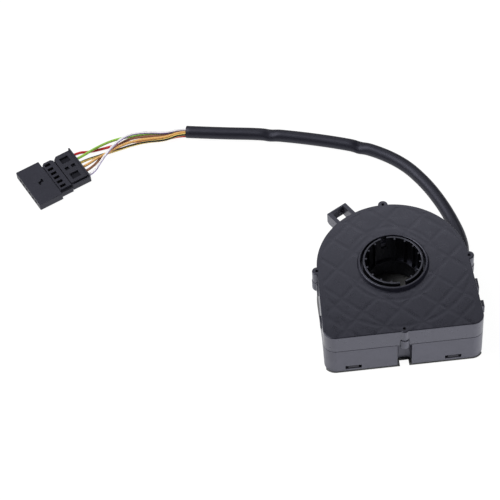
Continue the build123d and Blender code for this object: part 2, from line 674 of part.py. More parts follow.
def make_tongue():
    """A snap tongue of the lid, with its nose towards +X."""
    back = -WALL - LID_CLEARANCE
    front = back - TONGUE_THICKNESS
    nose_low = WINDOW_BOTTOM + NOSE_FOOT_GAP
    tongue_top = WINDOW_TOP - TONGUE_TOP_GAP
    nose_top = tongue_top - NOSE_TOP_DROP
    profile = make_face(Polyline(
        (front, LID_RIM_HEIGHT), (front, tongue_top), (back, tongue_top), (-NOSE_INSET, nose_top),
        (-NOSE_INSET, nose_low), (back, nose_low), (back, LID_RIM_HEIGHT), close=True))
    return extrude(Plane.XZ * profile, TONGUE_LENGTH / 2, both=True)


def make_base_lid():
    """Inset plate with a bearing ring for the hub, a wider mouth under it and four snap tongues."""
    lid = slab(0, LID_RIM_HEIGHT, LID_RIM_INSET) - lift(notch_sketch(0), 0, LID_RIM_HEIGHT)
    plate = slab(LID_RIM_HEIGHT, LID_TOP, WALL + LID_CLEARANCE)
    lid += plate - lift(notch_sketch(NOTCH_WALL + LID_CLEARANCE), LID_RIM_HEIGHT, LID_TOP)
    lid += disc(LID_RIM_HEIGHT, LID_RING_HEIGHT, LID_RING_RADIUS)
    lid -= disc(0, LID_RING_HEIGHT, BEARING_RADIUS)
    lid -= disc(0, MOUTH_DEPTH, MOUTH_RADIUS)
    tongue = make_tongue()
    for middle in window_middles():
        lid += Pos(middle, -FRONT_REACH, 0) * Rot(0, 0, -90) * tongue
    for angle in BACK_WINDOW_ANGLES:
        lid += Rot(0, 0, angle) * Pos(BACK_RADIUS - LID_CLEARANCE, 0, 0) * tongue
    return lid


def make_rotor_hub():
    """Hub turned from one section, with a shaft land and a flange, then ribbed and slotted."""
    land_low = HUB_BOTTOM + SHAFT_LAND_RISE
    land_high = land_low + SHAFT_LAND_LENGTH
    section = Polyline(
        (HUB_INNER_RADIUS, HUB_BOTTOM), (HUB_OUTER_RADIUS, HUB_BOTTOM),
        (HUB_OUTER_RADIUS, FLANGE_BOTTOM), (FLANGE_RADIUS, FLANGE_BOTTOM),
        (FLANGE_RADIUS, FLANGE_TOP), (HUB_OUTER_RADIUS, FLANGE_TOP),
        (HUB_OUTER_RADIUS, HUB_TOP), (HUB_INNER_RADIUS, HUB_TOP),
        (HUB_INNER_RADIUS, land_high), (SHAFT_RADIUS, land_high),
        (SHAFT_RADIUS, land_low), (HUB_INNER_RADIUS, land_low - SHAFT_LAND_STEP), close=True)
    profile = make_face(section)
    profile = fillet(profile.vertices().group_by(Axis.Y)[-1], HUB_RIM_ROUND)
    hub = revolve(Plane.XZ * profile, axis=Axis.Z)
    half_rib, half_key = RIB_WIDTH / 2, KEYWAY_WIDTH / 2
    rib = block(SHAFT_RADIUS + RIB_CLEARANCE, HUB_INNER_RADIUS + HUB_WALL / 2, -half_rib, half_rib,
                land_high, HUB_TOP - RIB_TOP_DROP)
    keyway = block(SHAFT_RADIUS / 2, HUB_OUTER_RADIUS + HUB_WALL, -half_key, half_key,
                   HUB_TOP - KEYWAY_DEPTH, HUB_TOP)
    for index in range(RIB_COUNT):
        turned = Rot(0, 0, RIB_FIRST_ANGLE + index * 360 / RIB_COUNT)
        if index in KEYWAY_INDEXES:
            hub -= turned * keyway
        else:
            hub += turned * rib
    return hub


def make_wiper_carrier():
    """Sleeve and disc pressed on the hub, with the stakes that hold the wipers."""
    carrier = ring(FLANGE_TOP, CARRIER_TOP, HUB_OUTER_RADIUS, CARRIER_SLEEVE_RADIUS)
    carrier += ring(CARRIER_DISC_BOTTOM, CARRIER_DISC_TOP, HUB_OUTER_RADIUS, CARRIER_DISC_RADIUS)
    for angle in WIPER_ANGLES:
        for radius in TRACK_MIDDLES:
            top = CARRIER_DISC_TOP + STAKE_HEIGHT
            carrier += disc(CARRIER_DISC_TOP, top, STAKE_RADIUS, polar(radius, angle))
    return carrier


def make_wiper(angle):
    """Stamped spring: a base staked to the carrier and a bent finger under each track."""
    half = WIPER_BASE_LENGTH / 2
    root = CARRIER_DISC_TOP
    wiper = block(WIPER_BASE_INNER, WIPER_BASE_OUTER, -half, half, root, root + WIPER_THICKNESS)
    contact = RING_BOARD_BOTTOM - TRACK_THICKNESS - WIPER_CONTACT_GAP
    knee = half + WIPER_ARM_LENGTH
    finger = Polyline(
        (0, root), (half, root), (knee, contact - WIPER_THICKNESS),
        (knee + WIPER_TIP_LENGTH, contact - 2.5 * WIPER_THICKNESS),
        (knee + WIPER_TIP_LENGTH, contact - 1.5 * WIPER_THICKNESS), (knee, contact),
        (half, root + WIPER_THICKNESS), (0, root + WIPER_THICKNESS), close=True)
    strip = extrude(Plane.YZ * make_face(finger), WIPER_FINGER_WIDTH / 2, both=True)
    for middle in TRACK_MIDDLES:
        sunk = middle - sqrt(middle**2 - knee**2)
        wiper += Pos(middle - sunk / 2, 0, 0) * strip
    for radius in TRACK_MIDDLES:
        wiper -= disc(root, root + 2 * WIPER_THICKNESS, STAKE_RADIUS + STAKE_CLEARANCE, (radius, 0))
    return Rot(0, 0, angle) * wiper


def make_felt_ring():
    """Dust felt stuck under the cover's bearing land."""
    return ring(BEARING_BOTTOM - FELT_THICKNESS, BEARING_BOTTOM, BEARING_RADIUS + FELT_HUB_GAP,
                COLLAR_FOOT_RADIUS - FELT_EDGE_INSET)


def make_track_board():
    """Ring board between the columns and the cover's press posts, with holes for the link pins."""
    board = ring(RING_BOARD_BOTTOM, RING_BOARD_TOP, RING_BOARD_INNER, RING_BOARD_OUTER)
    for place in link_places():
        board -= disc(RING_BOARD_BOTTOM, RING_BOARD_TOP, LINK_RADIUS + LINK_CLEARANCE, place)
    return board


def make_resistor_tracks():
    """Two printed tracks on the underside of the ring board."""
    bottom = RING_BOARD_BOTTOM - TRACK_THICKNESS
    return [ring(bottom, RING_BOARD_BOTTOM, middle - LANE / 2, middle + LANE / 2) for middle in TRACK_MIDDLES]


def make_main_board():
    """Board on the shelf's posts, cut clear of the hub, the notch and the columns."""
    board = slab(BOARD_BOTTOM, BOARD_TOP, MAIN_BOARD_INSET)
    board -= disc(BOARD_BOTTOM, BOARD_TOP, SHELF_HOLE_RADIUS)
    board -= lift(notch_sketch(NOTCH_WALL + COLUMN_GAP), BOARD_BOTTOM, BOARD_TOP)
    for place in column_places():
        board -= disc(BOARD_BOTTOM, BOARD_TOP, COLUMN_RADIUS + COLUMN_GAP, place)
    for place in post_places():
        board -= disc(BOARD_BOTTOM, BOARD_TOP, POST_PIN_RADIUS + POST_PIN_CLEARANCE, place)
    return board


def standing(size, place):
    """A box of the given size standing on the main board."""
    return Pos(*place, BOARD_TOP) * Box(*size, align=CENTER_LOW)


def make_chip(size, place, pins_x, pins_y):
    """A flat package with rows of feet along its sides."""
    body = standing(size, place)
    body = chamfer(body.edges().group_by(Axis.Z)[-1], size[2] / 6)
    feet = []
    for number in range(pins_x):
        shift = (number - (pins_x - 1) / 2) * PIN_PITCH
        feet.append(((PIN_WIDTH, size[1] + 2 * PIN_REACH), (shift, 0)))
    for number in range(pins_y):
        shift = (number - (pins_y - 1) / 2) * PIN_PITCH
        feet.append(((size[0] + 2 * PIN_REACH, PIN_WIDTH), (0, shift)))
    for (wide, deep), (dx, dy) in feet:
        body += standing((wide, deep, PIN_THICKNESS), (place[0] + dx, place[1] + dy))
    return body


def make_crystal():
    """Oval metal can."""
    long_side, short_side, height = CRYSTAL_SIZE
    can = lift(SlotOverall(long_side, short_side), 0, height)
    can = fillet(can.edges().group_by(Axis.Z)[-1], height / 6)
    return Pos(*CRYSTAL_PLACE, BOARD_TOP) * can


def make_regulator():
    """Power package with its cooling tab behind and two feet in front."""
    wide, deep, height = REGULATOR_SIZE
    x, y = REGULATOR_PLACE
    body = standing(REGULATOR_SIZE, REGULATOR_PLACE)
    tab = (wide * 0.8, deep + REGULATOR_TAB_REACH, height / 4)
    body += standing(tab, (x, y + REGULATOR_TAB_REACH / 2))
    for side in (-1, 1):
        foot = (height / 3, deep + REGULATOR_FOOT_REACH, height / 4)
        body += standing(foot, (x + side * wide / 3, y - REGULATOR_FOOT_REACH / 2))
    return body


def make_capacitors():
    """Moulded tantalum capacitors."""
    parts = []
    for place in CAPACITOR_PLACES:
        body = standing(CAPACITOR_SIZE, place)
        parts.append(chamfer(body.edges().group_by(Axis.Z)[-1], CAPACITOR_SIZE[2] / 6))
    return parts


def make_chip_resistors():
    """Rows of small chip resistors."""
    parts = []
    for (x, y), count in zip(RESISTOR_ROW_PLACES, RESISTOR_ROW_COUNTS):
        for number in range(count):
            parts.append(standing(RESISTOR_SIZE, (x + number * RESISTOR_STEP, y)))
    return parts


def make_link_pins():
    """Pins from the main board up through the ring board."""
    return [disc(BOARD_TOP, RING_BOARD_TOP + LINK_RADIUS, LINK_RADIUS, place) for place in link_places()]


def make_cable_grommet():
    """Rubber bush between the sleeve and the outlet's bore, with a flange outside."""
    mouth = Plane(origin=outlet_mouth(), z_dir=OUTWARD)
    bush = mouth * Cylinder(SLEEVE_RADIUS + GROMMET_WALL, SLEEVE_INSIDE, align=CENTER_HIGH)
    bush += mouth * Cylinder(GROMMET_FLANGE_RADIUS, GROMMET_FLANGE_THICKNESS, align=CENTER_LOW)
    bush -= mouth * Cylinder(SLEEVE_RADIUS, 3 * SLEEVE_INSIDE)
    return bush


def sleeve_route():
    """The sleeve's route: straight out of the outlet, then by its chosen points."""
    start = outlet_mouth() - OUTWARD * SLEEVE_INSIDE
    straight_end = outlet_mouth() + OUTWARD * SLEEVE_RUN_OUT
    return [tuple(start), tuple(straight_end)] + SLEEVE_ROUTE


def make_cable_sleeve():
    """Sleeve with its wires as one round core, bored at both ends where the wires show."""
    route = sleeve_route()
    sleeve = cord("cable_sleeve", route, SLEEVE_RADIUS)
    near = Plane(origin=route[0], z_dir=OUTWARD)
    sleeve -= near * Cylinder(SLEEVE_BORE_RADIUS, SLEEVE_NEAR_BORE_DEPTH, align=CENTER_LOW)
    end = Vector(*route[-1])
    inward = (Vector(*route[-2]) - end).normalized()
    far = Plane(origin=end, z_dir=inward)
    sleeve -= far * Cylinder(SLEEVE_BORE_RADIUS, SLEEVE_FAR_BORE_DEPTH, align=CENTER_LOW)
    return sleeve


def plug_point(x, y, z):
    """A point of the plug's own frame in the sensor's frame."""
    turned_x = x * cos(radians(PLUG_ANGLE)) - y * sin(radians(PLUG_ANGLE))
    turned_y = x * sin(radians(PLUG_ANGLE)) + y * cos(radians(PLUG_ANGLE))
    return PLUG_PLACE[0] + turned_x, PLUG_PLACE[1] + turned_y, z


def cavity_y(number):
    """Middle of a cavity across the plug, counted from its high side."""
    return CAVITY_ROW_HALF - number * CAVITY_PITCH


def wire_route(side, row, cavity, middle):
    """A wire's route from the sleeve's bore to its hole in the plug's rear."""
    end = Vector(*SLEEVE_ROUTE[-1])
    outward = (end - Vector(*SLEEVE_ROUTE[-2])).normalized()
    sideways = Vector(-outward.Y, outward.X, 0) * (-side * WIRE_SIDE_STEP)
    seat = end + sideways + Vector(0, 0, WIRE_ROW_HEIGHTS[row])
    first = seat - outward * SLEEVE_FAR_BORE_DEPTH
    second = seat + outward * WIRE_LEAD_OUT
    y = cavity_y(cavity)
    run_in = plug_point(WIRE_END + WIRE_RUN_IN, y, PLUG_WIRE_HEIGHT)
    last = plug_point(WIRE_END, y, PLUG_WIRE_HEIGHT)
    return [tuple(first), tuple(second), *middle, run_in, last]


def make_inner_leads():
    """Six short leads from the sleeve, under the shelf and up to the main board."""
    leads = []
    start = outlet_mouth() - OUTWARD * SLEEVE_INSIDE
    across = Vector(OUTWARD.Y, -OUTWARD.X, 0)
    for side, row, _, _ in WIRES.values():
        seat = start + across * (side * WIRE_SIDE_STEP) + Vector(0, 0, WIRE_ROW_HEIGHTS[row])
        inside = seat + OUTWARD * SLEEVE_NEAR_BORE_DEPTH
        knee = seat - OUTWARD * LEAD_RUN_OUT
        pad = lead_pad(side, row)
        route = [tuple(inside), tuple(knee), (*pad, knee.Z), (*pad, BOARD_BOTTOM)]
        path = FilletPolyline(*route, radius=[LEAD_ENTRY_RADIUS, LEAD_BEND_RADIUS])
        section = Plane(origin=path @ 0, z_dir=path % 0) * Circle(LEAD_RADIUS)
        leads.append(sweep(section, path=path))
    return leads


def in_plug(shape):
    """Move a shape from the plug's own frame to where the plug lies."""
    return Pos(*PLUG_PLACE, 0) * Rot(0, 0, PLUG_ANGLE) * shape


def wire_hole(x_low, x_high, number):
    """Round hole for one wire along the plug."""
    hole = Cylinder(WIRE_RADIUS + WIRE_HOLE_CLEARANCE, x_high - x_low, align=CENTER_LOW)
    return Pos(x_low, cavity_y(number), PLUG_WIRE_HEIGHT) * Rot(0, 90, 0) * hole


def sink(x, y, length, width, depth):
    """A rectangular recess in the plug's top."""
    return block(x - length / 2, x + length / 2, y - width / 2, y + width / 2,
                 PLUG_THICKNESS - depth, PLUG_THICKNESS)


def make_slot_section():
    """Section with the slots over the cavities, cut at its high corners, and its low ledge."""
    front = MATING_BACK + GROOVE_WIDTH
    width = SLOT_SECTION_HIGH - SLOT_SECTION_LOW
    plan = Pos(front, SLOT_SECTION_LOW) * Rectangle(
        SLOT_SECTION_END - front, width, align=(Align.MIN, Align.MIN))
    plan = chamfer(plan.vertices().group_by(Axis.Y)[-1], SLOT_SECTION_CORNER)
    section = lift(plan, 0, PLUG_THICKNESS)
    section += block(front, SLOT_SECTION_END, SLOT_SECTION_LOW - SLOT_LEDGE_WIDTH, SLOT_SECTION_LOW,
                     0, SLOT_LEDGE_HEIGHT)
    return section


def make_connector_body():
    """Mating block and slot section with six cavities, and a tongue that holds the cap."""
    half_width = CAVITY_ROW_HALF + MATING_MARGIN
    body = block(MATING_END, MATING_BACK, -half_width, half_width, 0, PLUG_THICKNESS)
    body = fillet(body.edges().filter_by(Axis.Z), PLUG_EDGE_ROUND)
    body = fillet(body.edges().group_by(Axis.Z)[-1], PLUG_EDGE_ROUND / 2)
    body += block(MATING_BACK - GROOVE_WIDTH, MATING_BACK + 2 * GROOVE_WIDTH, SLOT_SECTION_LOW,
                  SLOT_SECTION_HIGH - SLOT_SECTION_CORNER, 0, PLUG_THICKNESS - GROOVE_DEPTH)
    body += make_slot_section()
    body += block(SLOT_SECTION_END, LOCK_TONGUE_END, -LOCK_TONGUE_HALF, LOCK_TONGUE_HALF,
                  LOCK_TONGUE_LOW, LOCK_TONGUE_HIGH)
    cavity_low = PLUG_WIRE_HEIGHT - CAVITY_HEIGHT / 2
    for number in range(CAVITY_COUNT):
        y = cavity_y(number)
        body -= block(MATING_END, CAVITY_END, y - CAVITY_WIDTH / 2, y + CAVITY_WIDTH / 2,
                      cavity_low, cavity_low + CAVITY_HEIGHT)
        body -= sink(0, y, SLOT_LENGTH, SLOT_WIDTH, PLUG_THICKNESS - PLUG_WIRE_HEIGHT)
        body -= wire_hole(CAVITY_END, LOCK_TONGUE_END, number)
    for recess in KEY_RECESSES:
        body -= sink(*recess, KEY_RECESS_DEPTH)
    return in_plug(body)


def make_connector_cap():
    """Cap over the wire side with its recesses, ledge and raised rear rib."""
    plan = Pos(CAP_FRONT, CAP_LOW) * Rectangle(
        CAP_BACK - CAP_FRONT, CAP_HIGH - CAP_LOW, align=(Align.MIN, Align.MIN))
    corner = plan.vertices().group_by(Axis.Y)[-1].sort_by(Axis.X)[:1]
    cap = lift(chamfer(corner, CAP_CORNER), 0, PLUG_THICKNESS)
    cap += block(CAP_FRONT, CAP_BACK, CAP_LEDGE_LOW, CAP_LOW, 0, CAP_LEDGE_HEIGHT)
    rib_back = CAP_BACK + REAR_RIB_THICKNESS
    cap += block(CAP_BACK, rib_back, CAP_LEDGE_LOW, CAVITY_ROW_HALF + REAR_RIB_HIGH_MARGIN, 0, REAR_RIB_HEIGHT)
    cap -= block(CAP_FRONT, LOCK_TONGUE_END, -LOCK_TONGUE_HALF, LOCK_TONGUE_HALF,
                 LOCK_TONGUE_LOW, LOCK_TONGUE_HIGH)
    for recess in CAP_RECESSES:
        cap -= sink(*recess, CAP_RECESS_DEPTH)
    front, back, width, depth = CAP_SIDE_RECESS
    cap -= block(front, back, CAP_LOW - width, CAP_LOW, CAP_LEDGE_HEIGHT - depth, CAP_LEDGE_HEIGHT)
    for number in range(CAVITY_COUNT):
        cap -= wire_hole(LOCK_TONGUE_END, rib_back, number)
    return in_plug(cap)


def make_connector_terminals():
    """Six box terminals with a narrow waist under the slots and crimped tails, which the wires meet."""
    terminals = []
    half_y = CAVITY_WIDTH / 2 - TERMINAL_CLEARANCE
    half_z = CAVITY_HEIGHT / 2 - TERMINAL_CLEARANCE
    low, high = PLUG_WIRE_HEIGHT - half_z, PLUG_WIRE_HEIGHT + half_z
    half_waist = TERMINAL_WAIST_WIDTH / 2
    for number in range(CAVITY_COUNT):
        y = cavity_y(number)
        box = block(TERMINAL_FRONT, TERMINAL_BOX_BACK, y - half_y, y + half_y, low, high)
        box -= block(TERMINAL_FRONT, TERMINAL_BOX_BACK - TERMINAL_WALL, y - half_y + TERMINAL_WALL,
                     y + half_y - TERMINAL_WALL, low + TERMINAL_WALL, high - TERMINAL_WALL)
        waist = block(TERMINAL_BOX_BACK, CAVITY_END, y - half_waist, y + half_waist,
                      low, low + TERMINAL_WALL)
        tail_front = CAVITY_END - WIRE_RADIUS
        tail = Cylinder(WIRE_RADIUS, WIRE_END - tail_front, align=CENTER_LOW)
        tail = Pos(tail_front, y, PLUG_WIRE_HEIGHT) * Rot(0, 90, 0) * tail
        terminals.append(in_plug(box + waist + tail))
    return terminals


def make_all():
    """Every piece by the name of its node."""
    pieces = {
        "top_cover": make_top_cover(),
        "lower_housing": make_lower_housing(),
        "base_lid": make_base_lid(),
        "felt_ring": make_felt_ring(),
        "track_board": make_track_board(),
        "resistor_tracks": make_resistor_tracks(),
        "main_board": make_main_board(),
        "microcontroller": make_chip(CHIP_SIZE, CHIP_PLACE, CHIP_PINS, CHIP_PINS),
        "bus_driver": make_chip(DRIVER_SIZE, DRIVER_PLACE, DRIVER_PINS, 0),
        "regulator": make_regulator(),
        "crystal": make_crystal(),
        "capacitors": make_capacitors(),
        "chip_resistors": make_chip_resistors(),
        "link_pins": make_link_pins(),
        "cable_grommet": make_cable_grommet(),
        "inner_leads": make_inner_leads(),
        "cable_sleeve": make_cable_sleeve(),
        "connector_body": make_connector_body(),
        "connector_cap": make_connector_cap(),
        "connector_terminals": make_connector_terminals(),
        "rotor_hub": make_rotor_hub(),
        "wiper_carrier": make_wiper_carrier(),
    }
    for number, angle in enumerate(WIPER_ANGLES, start=1):
        pieces[f"wiper_{number}"] = make_wiper(angle)
    for name, (side, row, cavity, middle) in WIRES.items():
        pieces[name] = cord(name, wire_route(side, row, cavity, middle), WIRE_RADIUS)
    return pieces


os.makedirs("parts", exist_ok=True)
for node, shape in make_all().items():
    solids = shape if isinstance(shape, list) else [shape]
    export_step(Compound(children=[Compound(solid.wrapped) for solid in solids]), f"parts/{node}.step")
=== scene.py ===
"""Dresses a steering angle sensor: its lead, the finish of every piece, and a plain studio round it.

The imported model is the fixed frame. The lead's sleeve and wires are made here as smooth tubes on
the same routes as their solids, and every other piece keeps its solid and gets its finish.
"""

from __future__ import annotations

import logging
from dataclasses import dataclass, field
from enum import Enum
from math import cos, exp, pi, radians, sin, sqrt
from typing import Any, Callable, Sequence

import bpy
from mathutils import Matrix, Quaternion, Vector

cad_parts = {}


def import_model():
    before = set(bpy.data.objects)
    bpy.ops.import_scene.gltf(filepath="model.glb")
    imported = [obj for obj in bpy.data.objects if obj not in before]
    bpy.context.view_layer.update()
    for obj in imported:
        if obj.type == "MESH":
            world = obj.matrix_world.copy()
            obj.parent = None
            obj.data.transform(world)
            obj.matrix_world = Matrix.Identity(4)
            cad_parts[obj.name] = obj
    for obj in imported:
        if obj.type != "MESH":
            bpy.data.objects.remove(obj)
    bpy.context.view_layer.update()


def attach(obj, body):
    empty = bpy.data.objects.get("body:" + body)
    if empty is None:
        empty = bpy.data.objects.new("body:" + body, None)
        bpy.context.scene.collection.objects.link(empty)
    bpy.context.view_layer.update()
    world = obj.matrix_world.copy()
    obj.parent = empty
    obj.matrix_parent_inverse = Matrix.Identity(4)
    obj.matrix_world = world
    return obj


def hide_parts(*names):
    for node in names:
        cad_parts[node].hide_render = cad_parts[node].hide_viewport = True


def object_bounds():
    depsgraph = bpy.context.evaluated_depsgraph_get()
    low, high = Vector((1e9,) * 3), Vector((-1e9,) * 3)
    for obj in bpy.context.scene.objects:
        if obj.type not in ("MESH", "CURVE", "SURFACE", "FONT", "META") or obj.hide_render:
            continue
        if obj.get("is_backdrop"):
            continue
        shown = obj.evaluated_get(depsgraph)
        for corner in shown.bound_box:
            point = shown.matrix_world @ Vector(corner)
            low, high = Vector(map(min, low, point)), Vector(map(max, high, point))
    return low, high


LOG = logging.getLogger("sensor")
MM = 0.001
CM_PER_METRE = 100
WHITE = (1.0, 1.0, 1.0, 1.0)
BLUISH = (0.8, 0.81, 1.0, 1.0)

# The Mix node's sockets go by number, as those for colours and for plain numbers share their names.
SHARE = 0
FIRST_NUMBER = 2
SECOND_NUMBER = 3
FIRST_COLOUR = 6
SECOND_COLOUR = 7
MIXED_COLOUR = 2

# A noise pattern seldom leaves this range, so it is what gets stretched to a finish's full variation.
NOISE_RANGE = {"From Min": 0.3, "From Max": 0.7}

Point = tuple[float, float, float]
Colour = tuple[float, float, float, float]


def linear(colour: str) -> Colour:
    """Turn an sRGB hex colour into linear light, by the curve of the sRGB standard.

    Args:
        colour: six hex digits, such as "2a2a30".

    Returns:
        Red, green, blue and alpha, each from 0 to 1.
    """
    values = []
    for start in (0, 2, 4):
        share = int(colour[start:start + 2], 16) / 255
        values.append(share / 12.92 if share <= 0.04045 else ((share + 0.055) / 1.055) ** 2.4)
    return values[0], values[1], values[2], 1.0


def dimmed(colour: Colour, share: float) -> Colour:
    """The colour at a share of its brightness."""
    red, green, blue, _ = colour
    return share * red, share * green, share * blue, 1.0


def per_metre(size_mm: float) -> float:
    """Texture scale whose pattern repeats about every size_mm millimetres."""
    return 1 / (size_mm * MM)


def add_node(
    tree: bpy.types.NodeTree,
    kind: str,
    settings: dict[Any, Any] | None = None,
    links: dict[Any, Any] | None = None,
) -> bpy.types.Node:
    """Add one node, set its values and link its inputs.

    Args:
        tree: the node tree.
        kind: the node's type name.
        settings: values by property name, or by input socket name or number.
        links: for each named or numbered input, the output that feeds it, or a node whose first
            output does.

    Returns:
        The new node.
    """
    node = tree.nodes.new(kind)
    for name, value in (settings or {}).items():
        if isinstance(name, str) and name in node.bl_rna.properties:
            setattr(node, name, value)
        else:
            node.inputs[name].default_value = value
    for name, source in (links or {}).items():
        output = source.outputs[0] if isinstance(source, bpy.types.Node) else source
        tree.links.new(output, node.inputs[name])
    return node


class Place(Enum):
    """What a pattern follows: the piece's place in space, or its own unwrapped surface."""

    OBJECT = "Object"
    SURFACE = "UV"


@dataclass(frozen=True)
class Finish:
    """What every finish has: a name, a base colour, its gloss, and how far its roughness varies."""

    name: str
    colour: str
    roughness: float = 0.5
    ior: float = 1.5
    specular: float = 0.5
    tint: Colour = WHITE
    smoother: float = 0.04
    rougher: float = 0.05

    def start(self, place: Place) -> tuple[bpy.types.Material, bpy.types.NodeSocket]:
        """Begin the material.

        Args:
            place: what its patterns follow.

        Returns:
            The empty material and the coordinates of its patterns.
        """
        material = bpy.data.materials.new(self.name)
        material.use_nodes = True
        material.node_tree.nodes.clear()
        source = add_node(material.node_tree, "ShaderNodeTexCoord")
        return material, source.outputs[place.value]

    def sheen(self, tree: bpy.types.NodeTree, pattern: bpy.types.Node) -> bpy.types.Node:
        """Let the roughness vary round its plain value.

        Args:
            tree: the node tree.
            pattern: the noise that it follows.

        Returns:
            The node of the roughness.
        """
        ends = {"To Min": self.roughness - self.smoother, "To Max": self.roughness + self.rougher}
        return add_node(tree, "ShaderNodeMapRange", {**NOISE_RANGE, **ends}, {"Value": pattern})

    def close(
        self, material: bpy.types.Material, links: dict[str, Any], settings: dict[str, Any] | None = None
    ) -> bpy.types.Material:
        """Put the patterns on the shader and the shader on the output.

        Args:
            material: the material begun.
            links: the pattern for each of the shader's sockets.
            settings: further plain values on the shader.

        Returns:
            The finished material.
        """
        plain = {"Roughness": self.roughness, "IOR": self.ior, "Specular IOR Level": self.specular,
                 "Specular Tint": self.tint}
        plain.update(settings or {})
        shader = add_node(material.node_tree, "ShaderNodeBsdfPrincipled", plain, links)
        add_node(material.node_tree, "ShaderNodeOutputMaterial", links={"Surface": shader})
        return material


@dataclass(frozen=True)
class RibMarks:
    """Faint sink lines on a moulded face over the ribs under it: crossed diagonals and two rings.

    Levels and blends are shares of the full depth.
    """

    spacing_mm: float = 13.7
    rings_mm: tuple[float, ...] = (24.0, 40.6)
    half_width_mm: float = 1.7
    depth_mm: float = 0.045
    face_height_mm: float = 29.58
    collar_radius_mm: float = 19.0
    reach_mm: float = 36.5
    fade_mm: float = 1.0
    edge_blend: float = 0.6
    floor_level: float = 0.25
    floor_blend: float = 0.5
    crossing_blend: float = 0.2

    def height(self, tree: bpy.types.NodeTree, place: bpy.types.NodeSocket) -> bpy.types.Node:
        """Make the face's height pattern.

        Args:
            tree: the node tree.
            place: object coordinates.

        Returns:
            The node of the height, 1 on the flat and lower along a rib.
        """
        split = add_node(tree, "ShaderNodeSeparateXYZ", links={0: place})
        x, y, z = split.outputs
        half_cell = self.spacing_mm * MM / 2
        distances = []
        # Across a diagonal, the distance is the root of a half times the sum or difference of x and y.
        for sign in (1, -1):
            slanted = add_node(tree, "ShaderNodeMath", {"operation": "MULTIPLY_ADD", 1: float(sign)},
                               {0: y, 2: x})
            across = add_node(tree, "ShaderNodeMath",
                              {"operation": "MULTIPLY_ADD", 1: sqrt(0.5), 2: half_cell}, {0: slanted})
            distances.append(add_node(tree, "ShaderNodeMath", {"operation": "PINGPONG", 1: half_cell},
                                      {0: across}))
        flat = add_node(tree, "ShaderNodeCombineXYZ", links={"X": x, "Y": y})
        radius = add_node(tree, "ShaderNodeVectorMath", {"operation": "LENGTH"}, {0: flat}).outputs["Value"]
        for ring in self.rings_mm:
            offset = add_node(tree, "ShaderNodeMath", {"operation": "SUBTRACT", 1: ring * MM}, {0: radius})
            distances.append(add_node(tree, "ShaderNodeMath", {"operation": "ABSOLUTE"}, {0: offset}))
        plain = self.beyond(tree, x, y, z, radius)
        grooves = []
        for distance in distances:
            rise = add_node(tree, "ShaderNodeMath",
                            {"operation": "MULTIPLY", 1: per_metre(self.half_width_mm)}, {0: distance})
            sides = add_node(tree, "ShaderNodeMath",
                             {"operation": "SMOOTH_MIN", 1: 1.0, 2: self.edge_blend}, {0: rise})
            rounded = add_node(tree, "ShaderNodeMath",
                               {"operation": "SMOOTH_MAX", 1: self.floor_level, 2: self.floor_blend},
                               {0: sides})
            grooves.append(add_node(tree, "ShaderNodeMath", {"operation": "MAXIMUM"},
                                    {0: rounded, 1: plain}))
        lowest = grooves[0]
        for groove in grooves[1:]:
            lowest = add_node(tree, "ShaderNodeMath",
                              {"operation": "SMOOTH_MIN", 2: self.crossing_blend}, {0: lowest, 1: groove})
        return lowest

    def beyond(self, tree: bpy.types.NodeTree, x: Any, y: Any, z: Any, radius: Any) -> bpy.types.Node:
        """Tell where there are no ribs: below the face, on the collar, and out past the wall.

        Args:
            tree: the node tree.
            x: place across.
            y: place to the back.
            z: height.
            radius: distance from the hub's axis.

        Returns:
            The node of that mask, 1 where there are none.
        """
        back = add_node(tree, "ShaderNodeMath", {"operation": "MAXIMUM", 1: 0.0}, {0: y})
        outline = add_node(tree, "ShaderNodeCombineXYZ", links={"X": x, "Y": back})
        reach = add_node(tree, "ShaderNodeVectorMath", {"operation": "LENGTH"}, {0: outline})
        face, collar, edge = self.face_height_mm, self.collar_radius_mm, self.reach_mm
        bounds = (
            (face, -self.fade_mm, z),
            (collar, -self.fade_mm, radius),
            (edge, self.fade_mm, reach.outputs["Value"]),
        )
        masks = []
        for start, fade, source in bounds:
            masks.append(add_node(tree, "ShaderNodeMapRange",
                                  {"From Min": start * MM, "From Max": (start + fade) * MM},
                                  {"Value": source}))
        below, inside, outside = masks
        near = add_node(tree, "ShaderNodeMath", {"operation": "MAXIMUM"}, {0: below, 1: inside})
        return add_node(tree, "ShaderNodeMath", {"operation": "MAXIMUM"}, {0: near, 1: outside})


